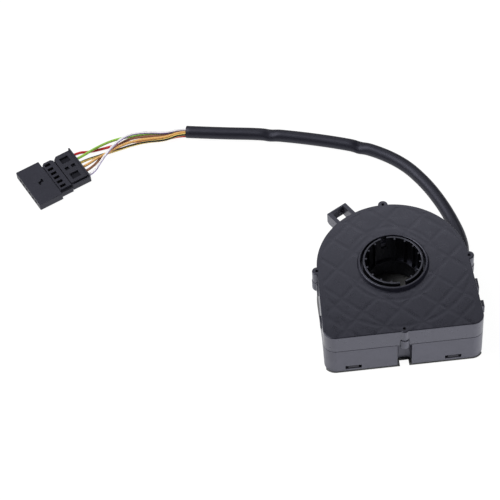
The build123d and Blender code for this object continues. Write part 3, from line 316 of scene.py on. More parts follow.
@dataclass(frozen=True)
class MouldedPlastic(Finish):
    """Moulded plastic, above all polyester and nylon: eroded grain, cloudy tone, draw marks on its walls.

    The grain softens the gloss, the clouds keep a wide face from looking painted, and the draw marks
    run in the direction in which the tool opens. The black pigment reflects a little more blue. A real
    eroded grain is about 0.05 mm, too fine to show, so it is drawn at 0.35 mm and very shallow.
    """

    tint: Colour = BLUISH
    pale_colour: str = "3a3a44"
    # Paler colour for the upright walls: painted light.
    wall_painted_light_colour: str = ""
    wall_top_mm: float = 29.0
    wall_fade_mm: float = 0.5
    upright_below: float = 0.3
    level_above: float = 0.8
    recess_top_mm: float = 0.0
    # Colour of the recess floors: a painted shade.
    recess_painted_shade_colour: str = "0e0e13"
    recess_roughness: float = 0.9
    recess_level_above: float = 0.7
    cloud_mm: float = 16.0
    patch_mm: float = 4.0
    grain_mm: float = 0.35
    grain_depth_mm: float = 0.002
    streak_mm: float = 1.2
    streak_stretch: float = 18.0
    streak_depth_mm: float = 0.004
    marks: RibMarks | None = None

    def build(self) -> bpy.types.Material:
        """Make the material.

        Returns:
            The material.
        """
        material, place = self.start(Place.OBJECT)
        tree = material.node_tree
        cloud = add_node(tree, "ShaderNodeTexNoise", {"Scale": per_metre(self.cloud_mm), "Detail": 3.0},
                         {"Vector": place})
        share = add_node(tree, "ShaderNodeMapRange", NOISE_RANGE, {"Value": cloud})
        colour = add_node(tree, "ShaderNodeMix",
                          {"data_type": "RGBA", FIRST_COLOUR: linear(self.colour),
                           SECOND_COLOUR: linear(self.pale_colour)},
                          {SHARE: share}).outputs[MIXED_COLOUR]
        if self.wall_painted_light_colour:
            colour = self.paint_wall_light(tree, place, colour)
        patches = add_node(tree, "ShaderNodeTexNoise", {"Scale": per_metre(self.patch_mm), "Detail": 4.0},
                           {"Vector": place})
        sheen = self.sheen(tree, patches).outputs[0]
        if self.recess_top_mm:
            colour, sheen = self.paint_recess_shade_and_matt(tree, place, colour, sheen)
        drawn = add_node(tree, "ShaderNodeMapping", {"Scale": (1.0, 1.0, 1 / self.streak_stretch)},
                         {"Vector": place})
        streaks = add_node(tree, "ShaderNodeTexNoise", {"Scale": per_metre(self.streak_mm), "Detail": 3.0},
                           {"Vector": drawn})
        under: dict[str, Any] = {}
        if self.marks:
            relief = add_node(tree, "ShaderNodeBump", {"Distance": self.marks.depth_mm * MM},
                              {"Height": self.marks.height(tree, place)})
            under = {"Normal": relief}
        walls = add_node(tree, "ShaderNodeBump", {"Distance": self.streak_depth_mm * MM},
                         {"Height": streaks, **under})
        grain = add_node(tree, "ShaderNodeTexNoise", {"Scale": per_metre(self.grain_mm), "Detail": 2.0},
                         {"Vector": place})
        skin = add_node(tree, "ShaderNodeBump", {"Distance": self.grain_depth_mm * MM},
                        {"Height": grain, "Normal": walls})
        return self.close(material, {"Base Color": colour, "Roughness": sheen, "Normal": skin})

    def paint_recess_shade_and_matt(
        self, tree: bpy.types.NodeTree, place: bpy.types.NodeSocket, colour: bpy.types.NodeSocket,
        sheen: bpy.types.NodeSocket,
    ) -> tuple[bpy.types.NodeSocket, bpy.types.NodeSocket]:
        """Make the floors of the recesses darker, a painted shade, and matt, as the tool isn't polished
        there.

        Args:
            tree: the node tree.
            place: object coordinates.
            colour: the outer faces' colour.
            sheen: their roughness.

        Returns:
            The colour and the roughness of the whole piece.
        """
        facing = add_node(tree, "ShaderNodeNewGeometry")
        upward = add_node(tree, "ShaderNodeSeparateXYZ", links={0: facing.outputs["True Normal"]})
        flat = add_node(tree, "ShaderNodeMath", {"operation": "GREATER_THAN", 1: self.recess_level_above},
                        {0: upward.outputs["Z"]})
        level = add_node(tree, "ShaderNodeSeparateXYZ", links={0: place})
        under = add_node(tree, "ShaderNodeMath", {"operation": "LESS_THAN", 1: self.recess_top_mm * MM},
                         {0: level.outputs["Z"]})
        share = add_node(tree, "ShaderNodeMath", {"operation": "MULTIPLY"}, {0: flat, 1: under})
        # Painted shade: the recess floors take a darker colour.
        dark = add_node(tree, "ShaderNodeMix",
                        {"data_type": "RGBA", SECOND_COLOUR: linear(self.recess_painted_shade_colour)},
                        {SHARE: share, FIRST_COLOUR: colour})
        matt = add_node(tree, "ShaderNodeMix",
                        {"data_type": "FLOAT", SECOND_NUMBER: self.recess_roughness},
                        {SHARE: share, FIRST_NUMBER: sheen})
        return dark.outputs[MIXED_COLOUR], matt.outputs[0]

    def paint_wall_light(
        self, tree: bpy.types.NodeTree, place: bpy.types.NodeSocket, colour: bpy.types.NodeSocket
    ) -> bpy.types.NodeSocket:
        """Make the upright walls paler: painted light, as the walls are drawn brighter than the top.

        Args:
            tree: the node tree.
            place: object coordinates.
            colour: the flat faces' colour.

        Returns:
            The colour of the whole piece.
        """
        facing = add_node(tree, "ShaderNodeNewGeometry")
        split = add_node(tree, "ShaderNodeSeparateXYZ", links={0: facing.outputs["True Normal"]})
        upward = add_node(tree, "ShaderNodeMath", {"operation": "ABSOLUTE"}, {0: split.outputs["Z"]})
        upright = add_node(tree, "ShaderNodeMapRange",
                           {"From Min": self.level_above, "From Max": self.upright_below},
                           {"Value": upward})
        level = add_node(tree, "ShaderNodeSeparateXYZ", links={0: place})
        fade_end_mm = self.wall_top_mm + self.wall_fade_mm
        under = add_node(tree, "ShaderNodeMapRange",
                         {"From Min": fade_end_mm * MM, "From Max": self.wall_top_mm * MM},
                         {"Value": level.outputs["Z"]})
        share = add_node(tree, "ShaderNodeMath", {"operation": "MULTIPLY"}, {0: upright, 1: under})
        return add_node(tree, "ShaderNodeMix",
                        {"data_type": "RGBA", SECOND_COLOUR: linear(self.wall_painted_light_colour)},
                        {SHARE: share, FIRST_COLOUR: colour}).outputs[MIXED_COLOUR]


@dataclass(frozen=True)
class Vinyl(Finish):
    """Extruded soft vinyl: smooth and a little glossy, with faint draw marks along its length.

    The real marks are far finer than a pixel, so only a few of them go round a tube.
    """

    roughness: float = 0.36
    ior: float = 1.53
    marks_round: float = 6.0
    stripe_colour: str = ""
    stripe_share: float = 0.18
    stripe_place: float = 0.25
    stripe_twist: float = 0.0
    stripe_ragged: float = 0.01
    marks_depth_mm: float = 0.0012
    mark_dimming: float = 0.85

    def build(self) -> bpy.types.Material:
        """Make the material.

        Returns:
            The material, whose patterns run along the tube's own surface.
        """
        material, place = self.start(Place.SURFACE)
        tree = material.node_tree
        stretched = add_node(tree, "ShaderNodeMapping", {"Scale": (1.0, self.marks_round, 1.0)},
                             {"Vector": place})
        marks = add_node(tree, "ShaderNodeTexNoise", {"Scale": 1.0, "Detail": 2.0}, {"Vector": stretched})
        base = linear(self.colour)
        if self.stripe_colour:
            share, second = self.stripe(tree, place, marks), linear(self.stripe_colour)
        else:
            share = add_node(tree, "ShaderNodeMapRange", NOISE_RANGE, {"Value": marks})
            second = dimmed(base, self.mark_dimming)
        colour = add_node(tree, "ShaderNodeMix",
                          {"data_type": "RGBA", FIRST_COLOUR: base, SECOND_COLOUR: second},
                          {SHARE: share}).outputs[MIXED_COLOUR]
        sheen = self.sheen(tree, marks)
        skin = add_node(tree, "ShaderNodeBump", {"Distance": self.marks_depth_mm * MM}, {"Height": marks})
        return self.close(material, {"Base Color": colour, "Roughness": sheen, "Normal": skin})

    def stripe(self, tree: bpy.types.NodeTree, place: Any, marks: bpy.types.Node) -> bpy.types.Node:
        """Mark the printed or co-extruded stripe, which may wind round the wire.

        Args:
            tree: the node tree.
            place: the surface's own coordinates, length in centimetres and share of the girth.
            marks: noise that roughens the stripe's edge.

        Returns:
            The node that is 1 on the stripe.
        """
        split = add_node(tree, "ShaderNodeSeparateXYZ", links={0: place})
        turned = add_node(tree, "ShaderNodeMath", {"operation": "MULTIPLY_ADD", 1: self.stripe_twist},
                          {0: split.outputs["X"], 2: split.outputs["Y"]})
        wave = add_node(tree, "ShaderNodeMath", {"operation": "SUBTRACT", 1: self.stripe_place},
                        {0: turned})
        offset = add_node(tree, "ShaderNodeMath", {"operation": "PINGPONG", 1: 0.5}, {0: wave})
        ragged = add_node(tree, "ShaderNodeMath", {"operation": "MULTIPLY_ADD", 1: self.stripe_ragged},
                          {0: marks, 2: offset})
        return add_node(tree, "ShaderNodeMath", {"operation": "LESS_THAN", 1: self.stripe_share / 2},
                        {0: ragged})


@dataclass(frozen=True)
class RolledMetal(Finish):
    """Tinned brass or bronze strip: bright, with fine rolling grain and a few duller patches."""

    smoother: float = 0.05
    rougher: float = 0.1
    grain_mm: float = 0.15
    grain_depth_mm: float = 0.003
    patch_mm: float = 2.0
    patch_dimming: float = 0.75

    def build(self) -> bpy.types.Material:
        """Make the material.

        Returns:
            The material.
        """
        material, place = self.start(Place.OBJECT)
        tree = material.node_tree
        bright = linear(self.colour)
        dull = dimmed(bright, self.patch_dimming)
        patches = add_node(tree, "ShaderNodeTexNoise", {"Scale": per_metre(self.patch_mm), "Detail": 3.0},
                           {"Vector": place})
        colour = add_node(tree, "ShaderNodeMix",
                          {"data_type": "RGBA", FIRST_COLOUR: bright, SECOND_COLOUR: dull},
                          {SHARE: patches}).outputs[MIXED_COLOUR]
        sheen = self.sheen(tree, patches)
        grain = add_node(tree, "ShaderNodeTexNoise", {"Scale": per_metre(self.grain_mm)}, {"Vector": place})
        skin = add_node(tree, "ShaderNodeBump", {"Distance": self.grain_depth_mm * MM}, {"Height": grain})
        return self.close(material, {"Base Color": colour, "Roughness": sheen, "Normal": skin},
                          {"Metallic": 1.0})


@dataclass(frozen=True)
class Laminate(Finish):
    """Glass-epoxy board under green solder mask, whose copper lines show darker and a little raised."""

    roughness: float = 0.35
    ior: float = 1.55
    line_colour: str = "0b3a1c"
    line_pitch_mm: float = 1.6
    line_start: float = 0.31
    line_height_mm: float = 0.03
    wander_mm: float = 9.0
    wander_lines: float = 3.0

    def build(self) -> bpy.types.Material:
        """Make the material.

        Returns:
            The material.
        """
        material, place = self.start(Place.OBJECT)
        tree = material.node_tree
        split = add_node(tree, "ShaderNodeSeparateXYZ", links={0: place})
        wander = add_node(tree, "ShaderNodeTexNoise", {"Scale": per_metre(self.wander_mm), "Detail": 0.0},
                          {"Vector": place})
        bends = add_node(tree, "ShaderNodeMath", {"operation": "MULTIPLY", 1: self.wander_lines},
                         {0: wander})
        across = add_node(tree, "ShaderNodeMath",
                          {"operation": "MULTIPLY_ADD", 1: per_metre(self.line_pitch_mm)},
                          {0: split.outputs["X"], 2: bends})
        wave = add_node(tree, "ShaderNodeMath", {"operation": "PINGPONG", 1: 0.5}, {0: across})
        copper = add_node(tree, "ShaderNodeMath", {"operation": "GREATER_THAN", 1: self.line_start},
                          {0: wave})
        colour = add_node(tree, "ShaderNodeMix",
                          {"data_type": "RGBA", FIRST_COLOUR: linear(self.colour),
                           SECOND_COLOUR: linear(self.line_colour)},
                          {SHARE: copper}).outputs[MIXED_COLOUR]
        skin = add_node(tree, "ShaderNodeBump", {"Distance": self.line_height_mm * MM}, {"Height": copper})
        return self.close(material, {"Base Color": colour, "Normal": skin})


@dataclass(frozen=True)
class Felt(Finish):
    """Pressed wool felt: matt, with short fibres that catch light at its edge."""

    roughness: float = 0.95
    ior: float = 1.45
    fibre_mm: float = 0.25
    fibre_depth_mm: float = 0.08
    fibre_dimming: float = 0.6
    fuzz: float = 0.4

    def build(self) -> bpy.types.Material:
        """Make the material.

        Returns:
            The material.
        """
        material, place = self.start(Place.OBJECT)
        tree = material.node_tree
        light = linear(self.colour)
        dark = dimmed(light, self.fibre_dimming)
        fibres = add_node(tree, "ShaderNodeTexNoise",
                          {"Scale": per_metre(self.fibre_mm), "Detail": 6.0, "Roughness": 0.7},
                          {"Vector": place})
        colour = add_node(tree, "ShaderNodeMix",
                          {"data_type": "RGBA", FIRST_COLOUR: dark, SECOND_COLOUR: light},
                          {SHARE: fibres}).outputs[MIXED_COLOUR]
        skin = add_node(tree, "ShaderNodeBump", {"Distance": self.fibre_depth_mm * MM}, {"Height": fibres})
        return self.close(material, {"Base Color": colour, "Normal": skin}, {"Sheen Weight": self.fuzz})


@dataclass
class Tube:
    """A flexible tube that follows a smooth line, open at its far end if it has a bore."""

    name: str
    route_mm: Sequence[Point]
    radius_mm: float
    length: float
    far_end: str
    stiffness: str
    finish: Vinyl
    bore_mm: float = 0.0
    bore_depth_mm: float = 0.0
    sides: int = 24
    squash: Callable[[float], float] = lambda share: 1.0
    steps: int = 14
    lip_mm: float = 0.15
    lip_share: float = 0.3
    widening: float = 0.6
    smooth_below: float = 50.0

    def centreline(self) -> list[Vector]:
        """Read the points of a smooth spline on the route.

        Returns:
            Points in metres, close together, from the housing's side to the far end.
        """
        curve = bpy.data.curves.new(f"{self.name}_line", "CURVE")
        curve.dimensions = "3D"
        curve.resolution_u = self.steps
        spline = curve.splines.new("NURBS")
        spline.points.add(len(self.route_mm) - 1)
        for point, place in zip(spline.points, self.route_mm):
            point.co = (place[0] * MM, place[1] * MM, place[2] * MM, 1.0)
        spline.use_endpoint_u = True
        spline.order_u = 3
        holder = bpy.data.objects.new(f"{self.name}_line", curve)
        mesh = bpy.data.meshes.new_from_object(holder)
        points = [vertex.co.copy() for vertex in mesh.vertices]
        bpy.data.meshes.remove(mesh)
        bpy.data.objects.remove(holder)
        bpy.data.curves.remove(curve)
        return points

    def rings(self, line: list[Vector]) -> list[tuple[Vector, Vector, float, float, float]]:
        """Lay out the tube's cross-sections.

        Args:
            line: the centreline.

        Returns:
            Centre, tangent, radius, height share and distance along for each ring, out along the
            skin and back down the bore.
        """
        travelled = [0.0]
        for before, here in zip(line, line[1:]):
            travelled.append(travelled[-1] + (here - before).length)
        whole = travelled[-1]
        tangents = []
        for number in range(len(line)):
            before, after = line[max(number - 1, 0)], line[min(number + 1, len(line) - 1)]
            tangents.append((after - before).normalized())
        radius = self.radius_mm * MM
        rings = []
        for centre, tangent, distance in zip(line, tangents, travelled):
            rings.append((centre, tangent, radius, self.squash(distance / whole), distance))
        end, tangent, distance = line[-1], tangents[-1], travelled[-1]
        lip = min(self.lip_mm * MM, self.lip_share * radius)
        if self.bore_mm:
            bore = self.bore_mm * MM
            rings[-1] = (end - tangent * lip, tangent, radius, 1.0, distance - lip)
            rings.append((end, tangent, radius - lip, 1.0, distance))
            rings.append((end, tangent, bore + lip / 2, 1.0, distance))
            rings.append((end - tangent * lip, tangent, bore, 1.0, distance))
            depth = self.bore_depth_mm * MM
            rings.append((end - tangent * depth, tangent, bore, 1.0, distance))
        return rings

    def build(self) -> bpy.types.Object:
        """Make the tube's mesh, with its length along U in centimetres and its girth along V.

        The girth starts on the tube's left, seen from its start, and turns over its top.

        Returns:
            The tube's object.
        """
        line = self.centreline()
        rings = self.rings(line)
        places, faces, corners = [], [], []
        for centre, tangent, radius, flat, _ in rings:
            side = Vector((0, 0, 1)).cross(tangent).normalized()
            upright = tangent.cross(side)
            sunk = centre - Vector((0, 0, radius * (1 - flat)))
            for number in range(self.sides):
                angle = 2 * pi * number / self.sides
                wide = 1 + self.widening * (1 - flat)
                offset = side * (cos(angle) * radius * wide) + upright * (sin(angle) * radius * flat)
                places.append(sunk + offset)
        for row in range(len(rings) - 1):
            for number in range(self.sides):
                following = (number + 1) % self.sides
                low, high = row * self.sides, (row + 1) * self.sides
                faces.append((low + number, low + following, high + following, high + number))
                near, far = rings[row][-1] * CM_PER_METRE, rings[row + 1][-1] * CM_PER_METRE
                left, right = number / self.sides, (number + 1) / self.sides
                corners.extend([(near, left), (near, right), (far, right), (far, left)])
        first = tuple(reversed(range(self.sides)))
        last = tuple(range((len(rings) - 1) * self.sides, len(rings) * self.sides))
        for cap in (first, last):
            faces.append(cap)
            corners.extend([(0.0, 0.0)] * self.sides)
        mesh = bpy.data.meshes.new(self.name)
        mesh.from_pydata([tuple(place) for place in places], [], faces)
        layer = mesh.uv_layers.new(name="UVMap")
        for loop, corner in zip(layer.data, corners):
            loop.uv = corner
        piece = bpy.data.objects.new(self.name, mesh)
        bpy.context.collection.objects.link(piece)
        bpy.ops.object.select_all(action="DESELECT")
        piece.select_set(True)
        bpy.context.view_layer.objects.active = piece
        bpy.ops.object.shade_smooth_by_angle(angle=radians(self.smooth_below))
        mesh.materials.append(self.finish.build())
        return piece

    def lay(self, node: str) -> None:
        """Args:
            node: the solid that it replaces.
        """
        piece = self.build()
        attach(piece, "housing")
        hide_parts(node)
        self.centreline()
        LOG.info("%s: %d faces", piece.name, len(piece.data.polygons))


def dress(nodes: Sequence[str], finish: Any) -> None:
    """Give solids their finish.

    Args:
        nodes: the solids' names.
        finish: anything with a build method that returns a material.
    """
    material = finish.build()
    for name in nodes:
        piece = bpy.data.objects[name]
        for holder in piece.material_slots:
            holder.material = material
        LOG.info("%s: %s", name, material.name)


@dataclass
class Shells:
    """The three moulded shells, the felt and the cable's bush."""

    gloss_ior: float = 1.6
    gloss: float = 0.7
    bush_grain_mm: float = 0.6
    bush_grain_depth_mm: float = 0.01

    def dress(self) -> None:
        """Give each shell its finish."""
        # Glass-filled polyester, moulded: a polished top that mirrors the room, and walls painted paler
        # grey as painted light.
        cover = MouldedPlastic("cover_polyester", "13131b", 0.3, self.gloss_ior, self.gloss,
                               pale_colour="17171f", wall_painted_light_colour="46464f", marks=RibMarks())
        # Its paler grey is painted light, the same colour as the cover's painted walls.
        housing = MouldedPlastic("housing_polyester", "46464f", 0.42, self.gloss_ior, self.gloss,
                                 pale_colour="4b4b55")
        lid = MouldedPlastic("lid_polyester", "26262c", 0.5, pale_colour="2b2b31")
        # Moulded rubber: darker than the shells and nearly matt.
        bush = MouldedPlastic("bush_rubber", "16161a", 0.7, pale_colour="1c1c20",
                              grain_mm=self.bush_grain_mm, grain_depth_mm=self.bush_grain_depth_mm)
        dress(["top_cover"], cover)
        dress(["lower_housing"], housing)
        dress(["base_lid"], lid)
        dress(["cable_grommet"], bush)
        dress(["felt_ring"], Felt("wool_felt", "26262a"))


@dataclass
class Electronics:
    """Boards, their parts and the leads between them, all inside the shells."""

    chip_grain_mm: float = 0.2

    def dress(self) -> None:
        """Give each inner piece its finish."""
        dress(["track_board", "main_board"], Laminate("glass_epoxy", "12502a"))
        # Screen-printed carbon: dull and almost black.
        dress(["resistor_tracks"], MouldedPlastic("carbon_ink", "141414", 0.6, pale_colour="1b1b1b"))
        # Transfer-moulded epoxy: a dull charcoal with a fine grain.
        chips = MouldedPlastic("moulded_epoxy", "1c1c1e", 0.55, pale_colour="232325",
                               grain_mm=self.chip_grain_mm)
        dress(["microcontroller", "bus_driver", "regulator"], chips)
        # Glazed ceramic with a printed film: dark and shiny.
        dress(["chip_resistors"], MouldedPlastic("glazed_alumina", "1a1a1c", 0.3, pale_colour="2a2a2c"))
        # Dyed epoxy case: amber and satin.
        dress(["capacitors"], MouldedPlastic("tantalum_case", "9c6a1e", 0.45, pale_colour="a87528"))
        dress(["crystal"], RolledMetal("drawn_can", "c6c6ca", 0.25))
        dress(["link_pins"], RolledMetal("tinned_pins", "cdc3a4", 0.25))
        # Extruded vinyl: grey, even and a little shiny.
        dress(["inner_leads"], MouldedPlastic("lead_vinyl", "53535a", 0.4, pale_colour="5b5b62"))


@dataclass
class Rotor:
    """The hub that turns, with its carrier and wipers."""

    gloss_ior: float = 1.6
    gloss: float = 0.9

    def dress(self) -> None:
        """Give each turning piece its finish."""
        # Unfilled polyester, moulded against a smooth core: black, and it mirrors the light on its rim.
        hub = MouldedPlastic("hub_polyester", "050507", 0.36, self.gloss_ior, self.gloss,
                             pale_colour="08080b")
        dress(["rotor_hub"], hub)
        # Undyed acetal: milky and satin.
        dress(["wiper_carrier"], MouldedPlastic("natural_acetal", "cfc8b8", 0.4, pale_colour="c6bfae"))
        dress(["wiper_1", "wiper_2"], RolledMetal("spring_bronze", "b98a4a", 0.22))


@dataclass
class Plug:
    """The flat six-way plug with its cap and terminals."""

    roughness: float = 0.45
    recess_top_mm: float = 3.5

    def dress(self) -> None:
        """Give each piece of the plug its finish."""
        # Glass-filled nylon, moulded: charcoal with a soft, even gloss.
        # The recess floors get a painted shade and a matt finish.
        body = MouldedPlastic("plug_nylon", "222229", self.roughness, pale_colour="26262e",
                              recess_top_mm=self.recess_top_mm)
        cap = MouldedPlastic("cap_nylon", "232329", self.roughness, pale_colour="27272e",
                             recess_top_mm=self.recess_top_mm)
        dress(["connector_body"], body)
        dress(["connector_cap"], cap)
        dress(["connector_terminals"], RolledMetal("tinned_brass", "b9b3a0", 0.3))


@dataclass
class Lead:
    """The sleeve and the six wires that run on from its open end to the plug."""

    sleeve_radius_mm: float = 3.5
    sleeve_bore_mm: float = 3.0
    sleeve_length: float = 0.214
    outlet_mm: Point = (38.5, 12.3, 6.2)
    outlet_angle: float = 74.0
    sleeve_inside_mm: float = 5.0
    sleeve_run_out_mm: float = 7.5
    sleeve_sides: int = 40
    wire_radius_mm: float = 0.75
    wire_inside_mm: float = 6.0
    wire_lead_out_mm: float = 3.0
    wire_sides: int = 16
    side_step_mm: float = 1.6
    upper_row_mm: float = 0.15
    lower_row_mm: float = -1.5
    plug_place_mm: tuple[float, float] = (-176.2, 106.6)
    plug_angle: float = 27.0
    plug_wire_height_mm: float = 2.2
    cavity_pitch_mm: float = 3.64
    middle_cavity: float = 2.5
    wire_end_mm: float = 14.6
    wire_run_in_mm: float = 5.3
    crease_length: float = 0.014
    creases: dict[float, float] = field(default_factory=lambda: {0.533: 0.2, 0.774: 0.16})

    SLEEVE_ROUTE = [
        (40.7, 31.5, 4.9), (38.7, 43.5, 3.5), (34.9, 57.0, 3.5), (28.3, 73.0, 3.5), (18.0, 89.2, 3.5),
        (1.6, 102.0, 3.5), (-17.0, 109.6, 3.5), (-38.0, 116.5, 3.5), (-59.0, 122.1, 3.5),
        (-79.5, 125.4, 3.5), (-100.7, 129.6, 3.5),
    ]

    def sleeve_route(self) -> list[Point]:
        """The sleeve's points: straight out of the outlet, then by its chosen points."""
        turn = radians(self.outlet_angle)
        outward = Vector((cos(turn), sin(turn), 0.0))
        mouth = Vector(self.outlet_mm)
        start = mouth - outward * self.sleeve_inside_mm
        straight_end = mouth + outward * self.sleeve_run_out_mm
        return [tuple(start), tuple(straight_end), *self.SLEEVE_ROUTE]

    def plug_point(self, x: float, y: float) -> Point:
        """A point of the plug's own frame, at the wires' height, in the sensor's frame."""
        turn = radians(self.plug_angle)
        left, back = self.plug_place_mm
        return (left + x * cos(turn) - y * sin(turn), back + x * sin(turn) + y * cos(turn),
                self.plug_wire_height_mm)

    def wire_route(self, side: int, row: float, cavity: int, middle: Sequence[Point]) -> list[Point]:
        """A wire's points, from the sleeve's bore to its hole in the plug.

        Args:
            side: place across the sleeve, -1, 0 or 1.
            row: height in the sleeve over its middle.
            cavity: its hole, counted from the plug's high side.
            middle: the chosen points between.

        Returns:
            The route in millimetres.
        """
        end = Vector(self.SLEEVE_ROUTE[-1])
        outward = (end - Vector(self.SLEEVE_ROUTE[-2])).normalized()
        sideways = Vector((-outward.y, outward.x, 0)) * (-side * self.side_step_mm)
        seat = end + sideways + Vector((0, 0, row))
        first = seat - outward * self.wire_inside_mm
        second = seat + outward * self.wire_lead_out_mm
        y = (self.middle_cavity - cavity) * self.cavity_pitch_mm
        run_in = self.plug_point(self.wire_end_mm + self.wire_run_in_mm, y)
        last = self.plug_point(self.wire_end_mm, y)
        return [tuple(first), tuple(second), *middle, run_in, last]

    def squash(self, share: float) -> float:
        """Height of the sleeve at a share of its length, 1 where it is round."""
        lost = 0.0
        for place, depth in self.creases.items():
            lost += depth * exp(-(((share - place) / self.crease_length) ** 2))
        return 1 - lost

    def make(self) -> None:
        """Make the sleeve and its wires."""
        # Soft vinyl tube: black with a long soft highlight, rougher than the wires' insulation.
        black = Vinyl("sleeve_vinyl", "14141d", 0.5, tint=BLUISH, marks_round=12.0)
        sleeve = Tube("sleeve", self.sleeve_route(), self.sleeve_radius_mm, self.sleeve_length, "bare",
                      "medium", black, self.sleeve_bore_mm, self.wire_inside_mm, self.sleeve_sides,
                      self.squash)
        sleeve.lay("cable_sleeve")
        upper, lower = self.upper_row_mm, self.lower_row_mm
        # Thin vinyl insulation: clear colours with a narrow shine, three of them with a printed stripe.
        violet = Vinyl("white_violet", "f6f4f8", stripe_colour="7a5cae", stripe_share=0.24,
                       stripe_place=0.97)
        self.wire("wire_white_violet", 1, upper, 5, 0.0763, violet, [
            (-112.4, 130.2, 3.7), (-123.0, 131.9, 4.2), (-132.5, 131.2, 4.9), (-139.5, 126.0, 6.2),
            (-145.5, 119.0, 6.2), (-150.8, 112.4, 4.4)])
        self.wire("wire_green", 1, lower, 1, 0.0747, Vinyl("green", "a6dc5c"), [
            (-113.0, 131.5, 1.7), (-124.0, 132.6, 1.6), (-133.5, 132.2, 1.7), (-142.5, 130.6, 1.9),
            (-149.5, 126.9, 2.8), (-155.5, 123.0, 3.4)])
        yellow = Vinyl("yellow_black", "f8dc78", stripe_colour="1a1a1c", stripe_share=0.24,
                       stripe_place=0.04, stripe_twist=-0.04)
        self.wire("wire_yellow_black", -1, upper, 2, 0.0713, yellow, [
            (-112.5, 125.4, 2.9), (-123.5, 126.0, 2.7), (-132.0, 124.9, 2.4), (-139.5, 123.4, 1.5),
            (-146.0, 122.3, 0.85), (-152.5, 120.3, 1.0)])
        tan = Vinyl("tan_brown", "ecb870", stripe_colour="9a6842", stripe_share=0.2, stripe_place=0.93)
        self.wire("wire_tan_brown", 0, upper, 3, 0.0719, tan, [
            (-112.5, 127.4, 3.1), (-123.5, 128.0, 3.0), (-132.0, 126.9, 3.2), (-139.5, 123.4, 4.2),
            (-146.5, 118.9, 4.5), (-152.5, 116.0, 4.2)])
        self.wire("wire_brown", 0, lower, 4, 0.0736, Vinyl("brown", "9c6e54"), [
            (-112.0, 129.7, 2.1), (-123.0, 130.4, 2.4), (-132.5, 129.9, 2.7), (-139.5, 126.2, 2.9),
            (-145.0, 121.8, 2.8), (-150.5, 117.2, 2.3)])
        self.wire("wire_red", -1, lower, 0, 0.0734, Vinyl("red", "da3034"), [
            (-111.5, 127.9, 1.1), (-122.0, 128.6, 0.9), (-132.0, 128.9, 0.9), (-142.0, 127.3, 0.9),
            (-150.5, 125.4, 0.9), (-157.5, 124.0, 1.3)])

    def wire(
        self, node: str, side: int, row: float, cavity: int, length: float, finish: Vinyl,
        middle: Sequence[Point],
    ) -> None:
        """Make one wire in place of its solid.

        Args:
            node: the solid's name, whose slot is its colour.
            side: place across the sleeve.
            row: height in the sleeve.
            cavity: its hole in the plug.
            length: its length in metres, handed to the tube, which does not use it.
            finish: its insulation.
            middle: the chosen points of its route.
        """
        route = self.wire_route(side, row, cavity, middle)
        name = node.removeprefix("wire_")
        tube = Tube(f"insulation_{name}", route, self.wire_radius_mm, length, "connector", "medium", finish,
                    sides=self.wire_sides)
        tube.lay(node)


@dataclass(frozen=True)
class Lamp:
    """A soft lamp that faces the sensor, square unless it has a height, in metres and watts."""

    name: str
    place: Point
    size: float
    power: float
    height: float = 0.0
    mirrored: bool = True

    def hang(self) -> None:
        """Add the lamp. The camera never sees it, and glossy faces do only where it is mirrored."""
        light = bpy.data.lights.new(self.name, "AREA")
        light.shape = "RECTANGLE"
        light.size = self.size
        light.size_y = self.height or self.size
        light.energy = self.power
        holder = bpy.data.objects.new(self.name, light)
        holder.location = self.place
        holder.rotation_euler = (-Vector(self.place)).to_track_quat("-Z", "Y").to_euler()
        holder.visible_camera = False
        holder.visible_glossy = self.mirrored
        bpy.context.collection.objects.link(holder)


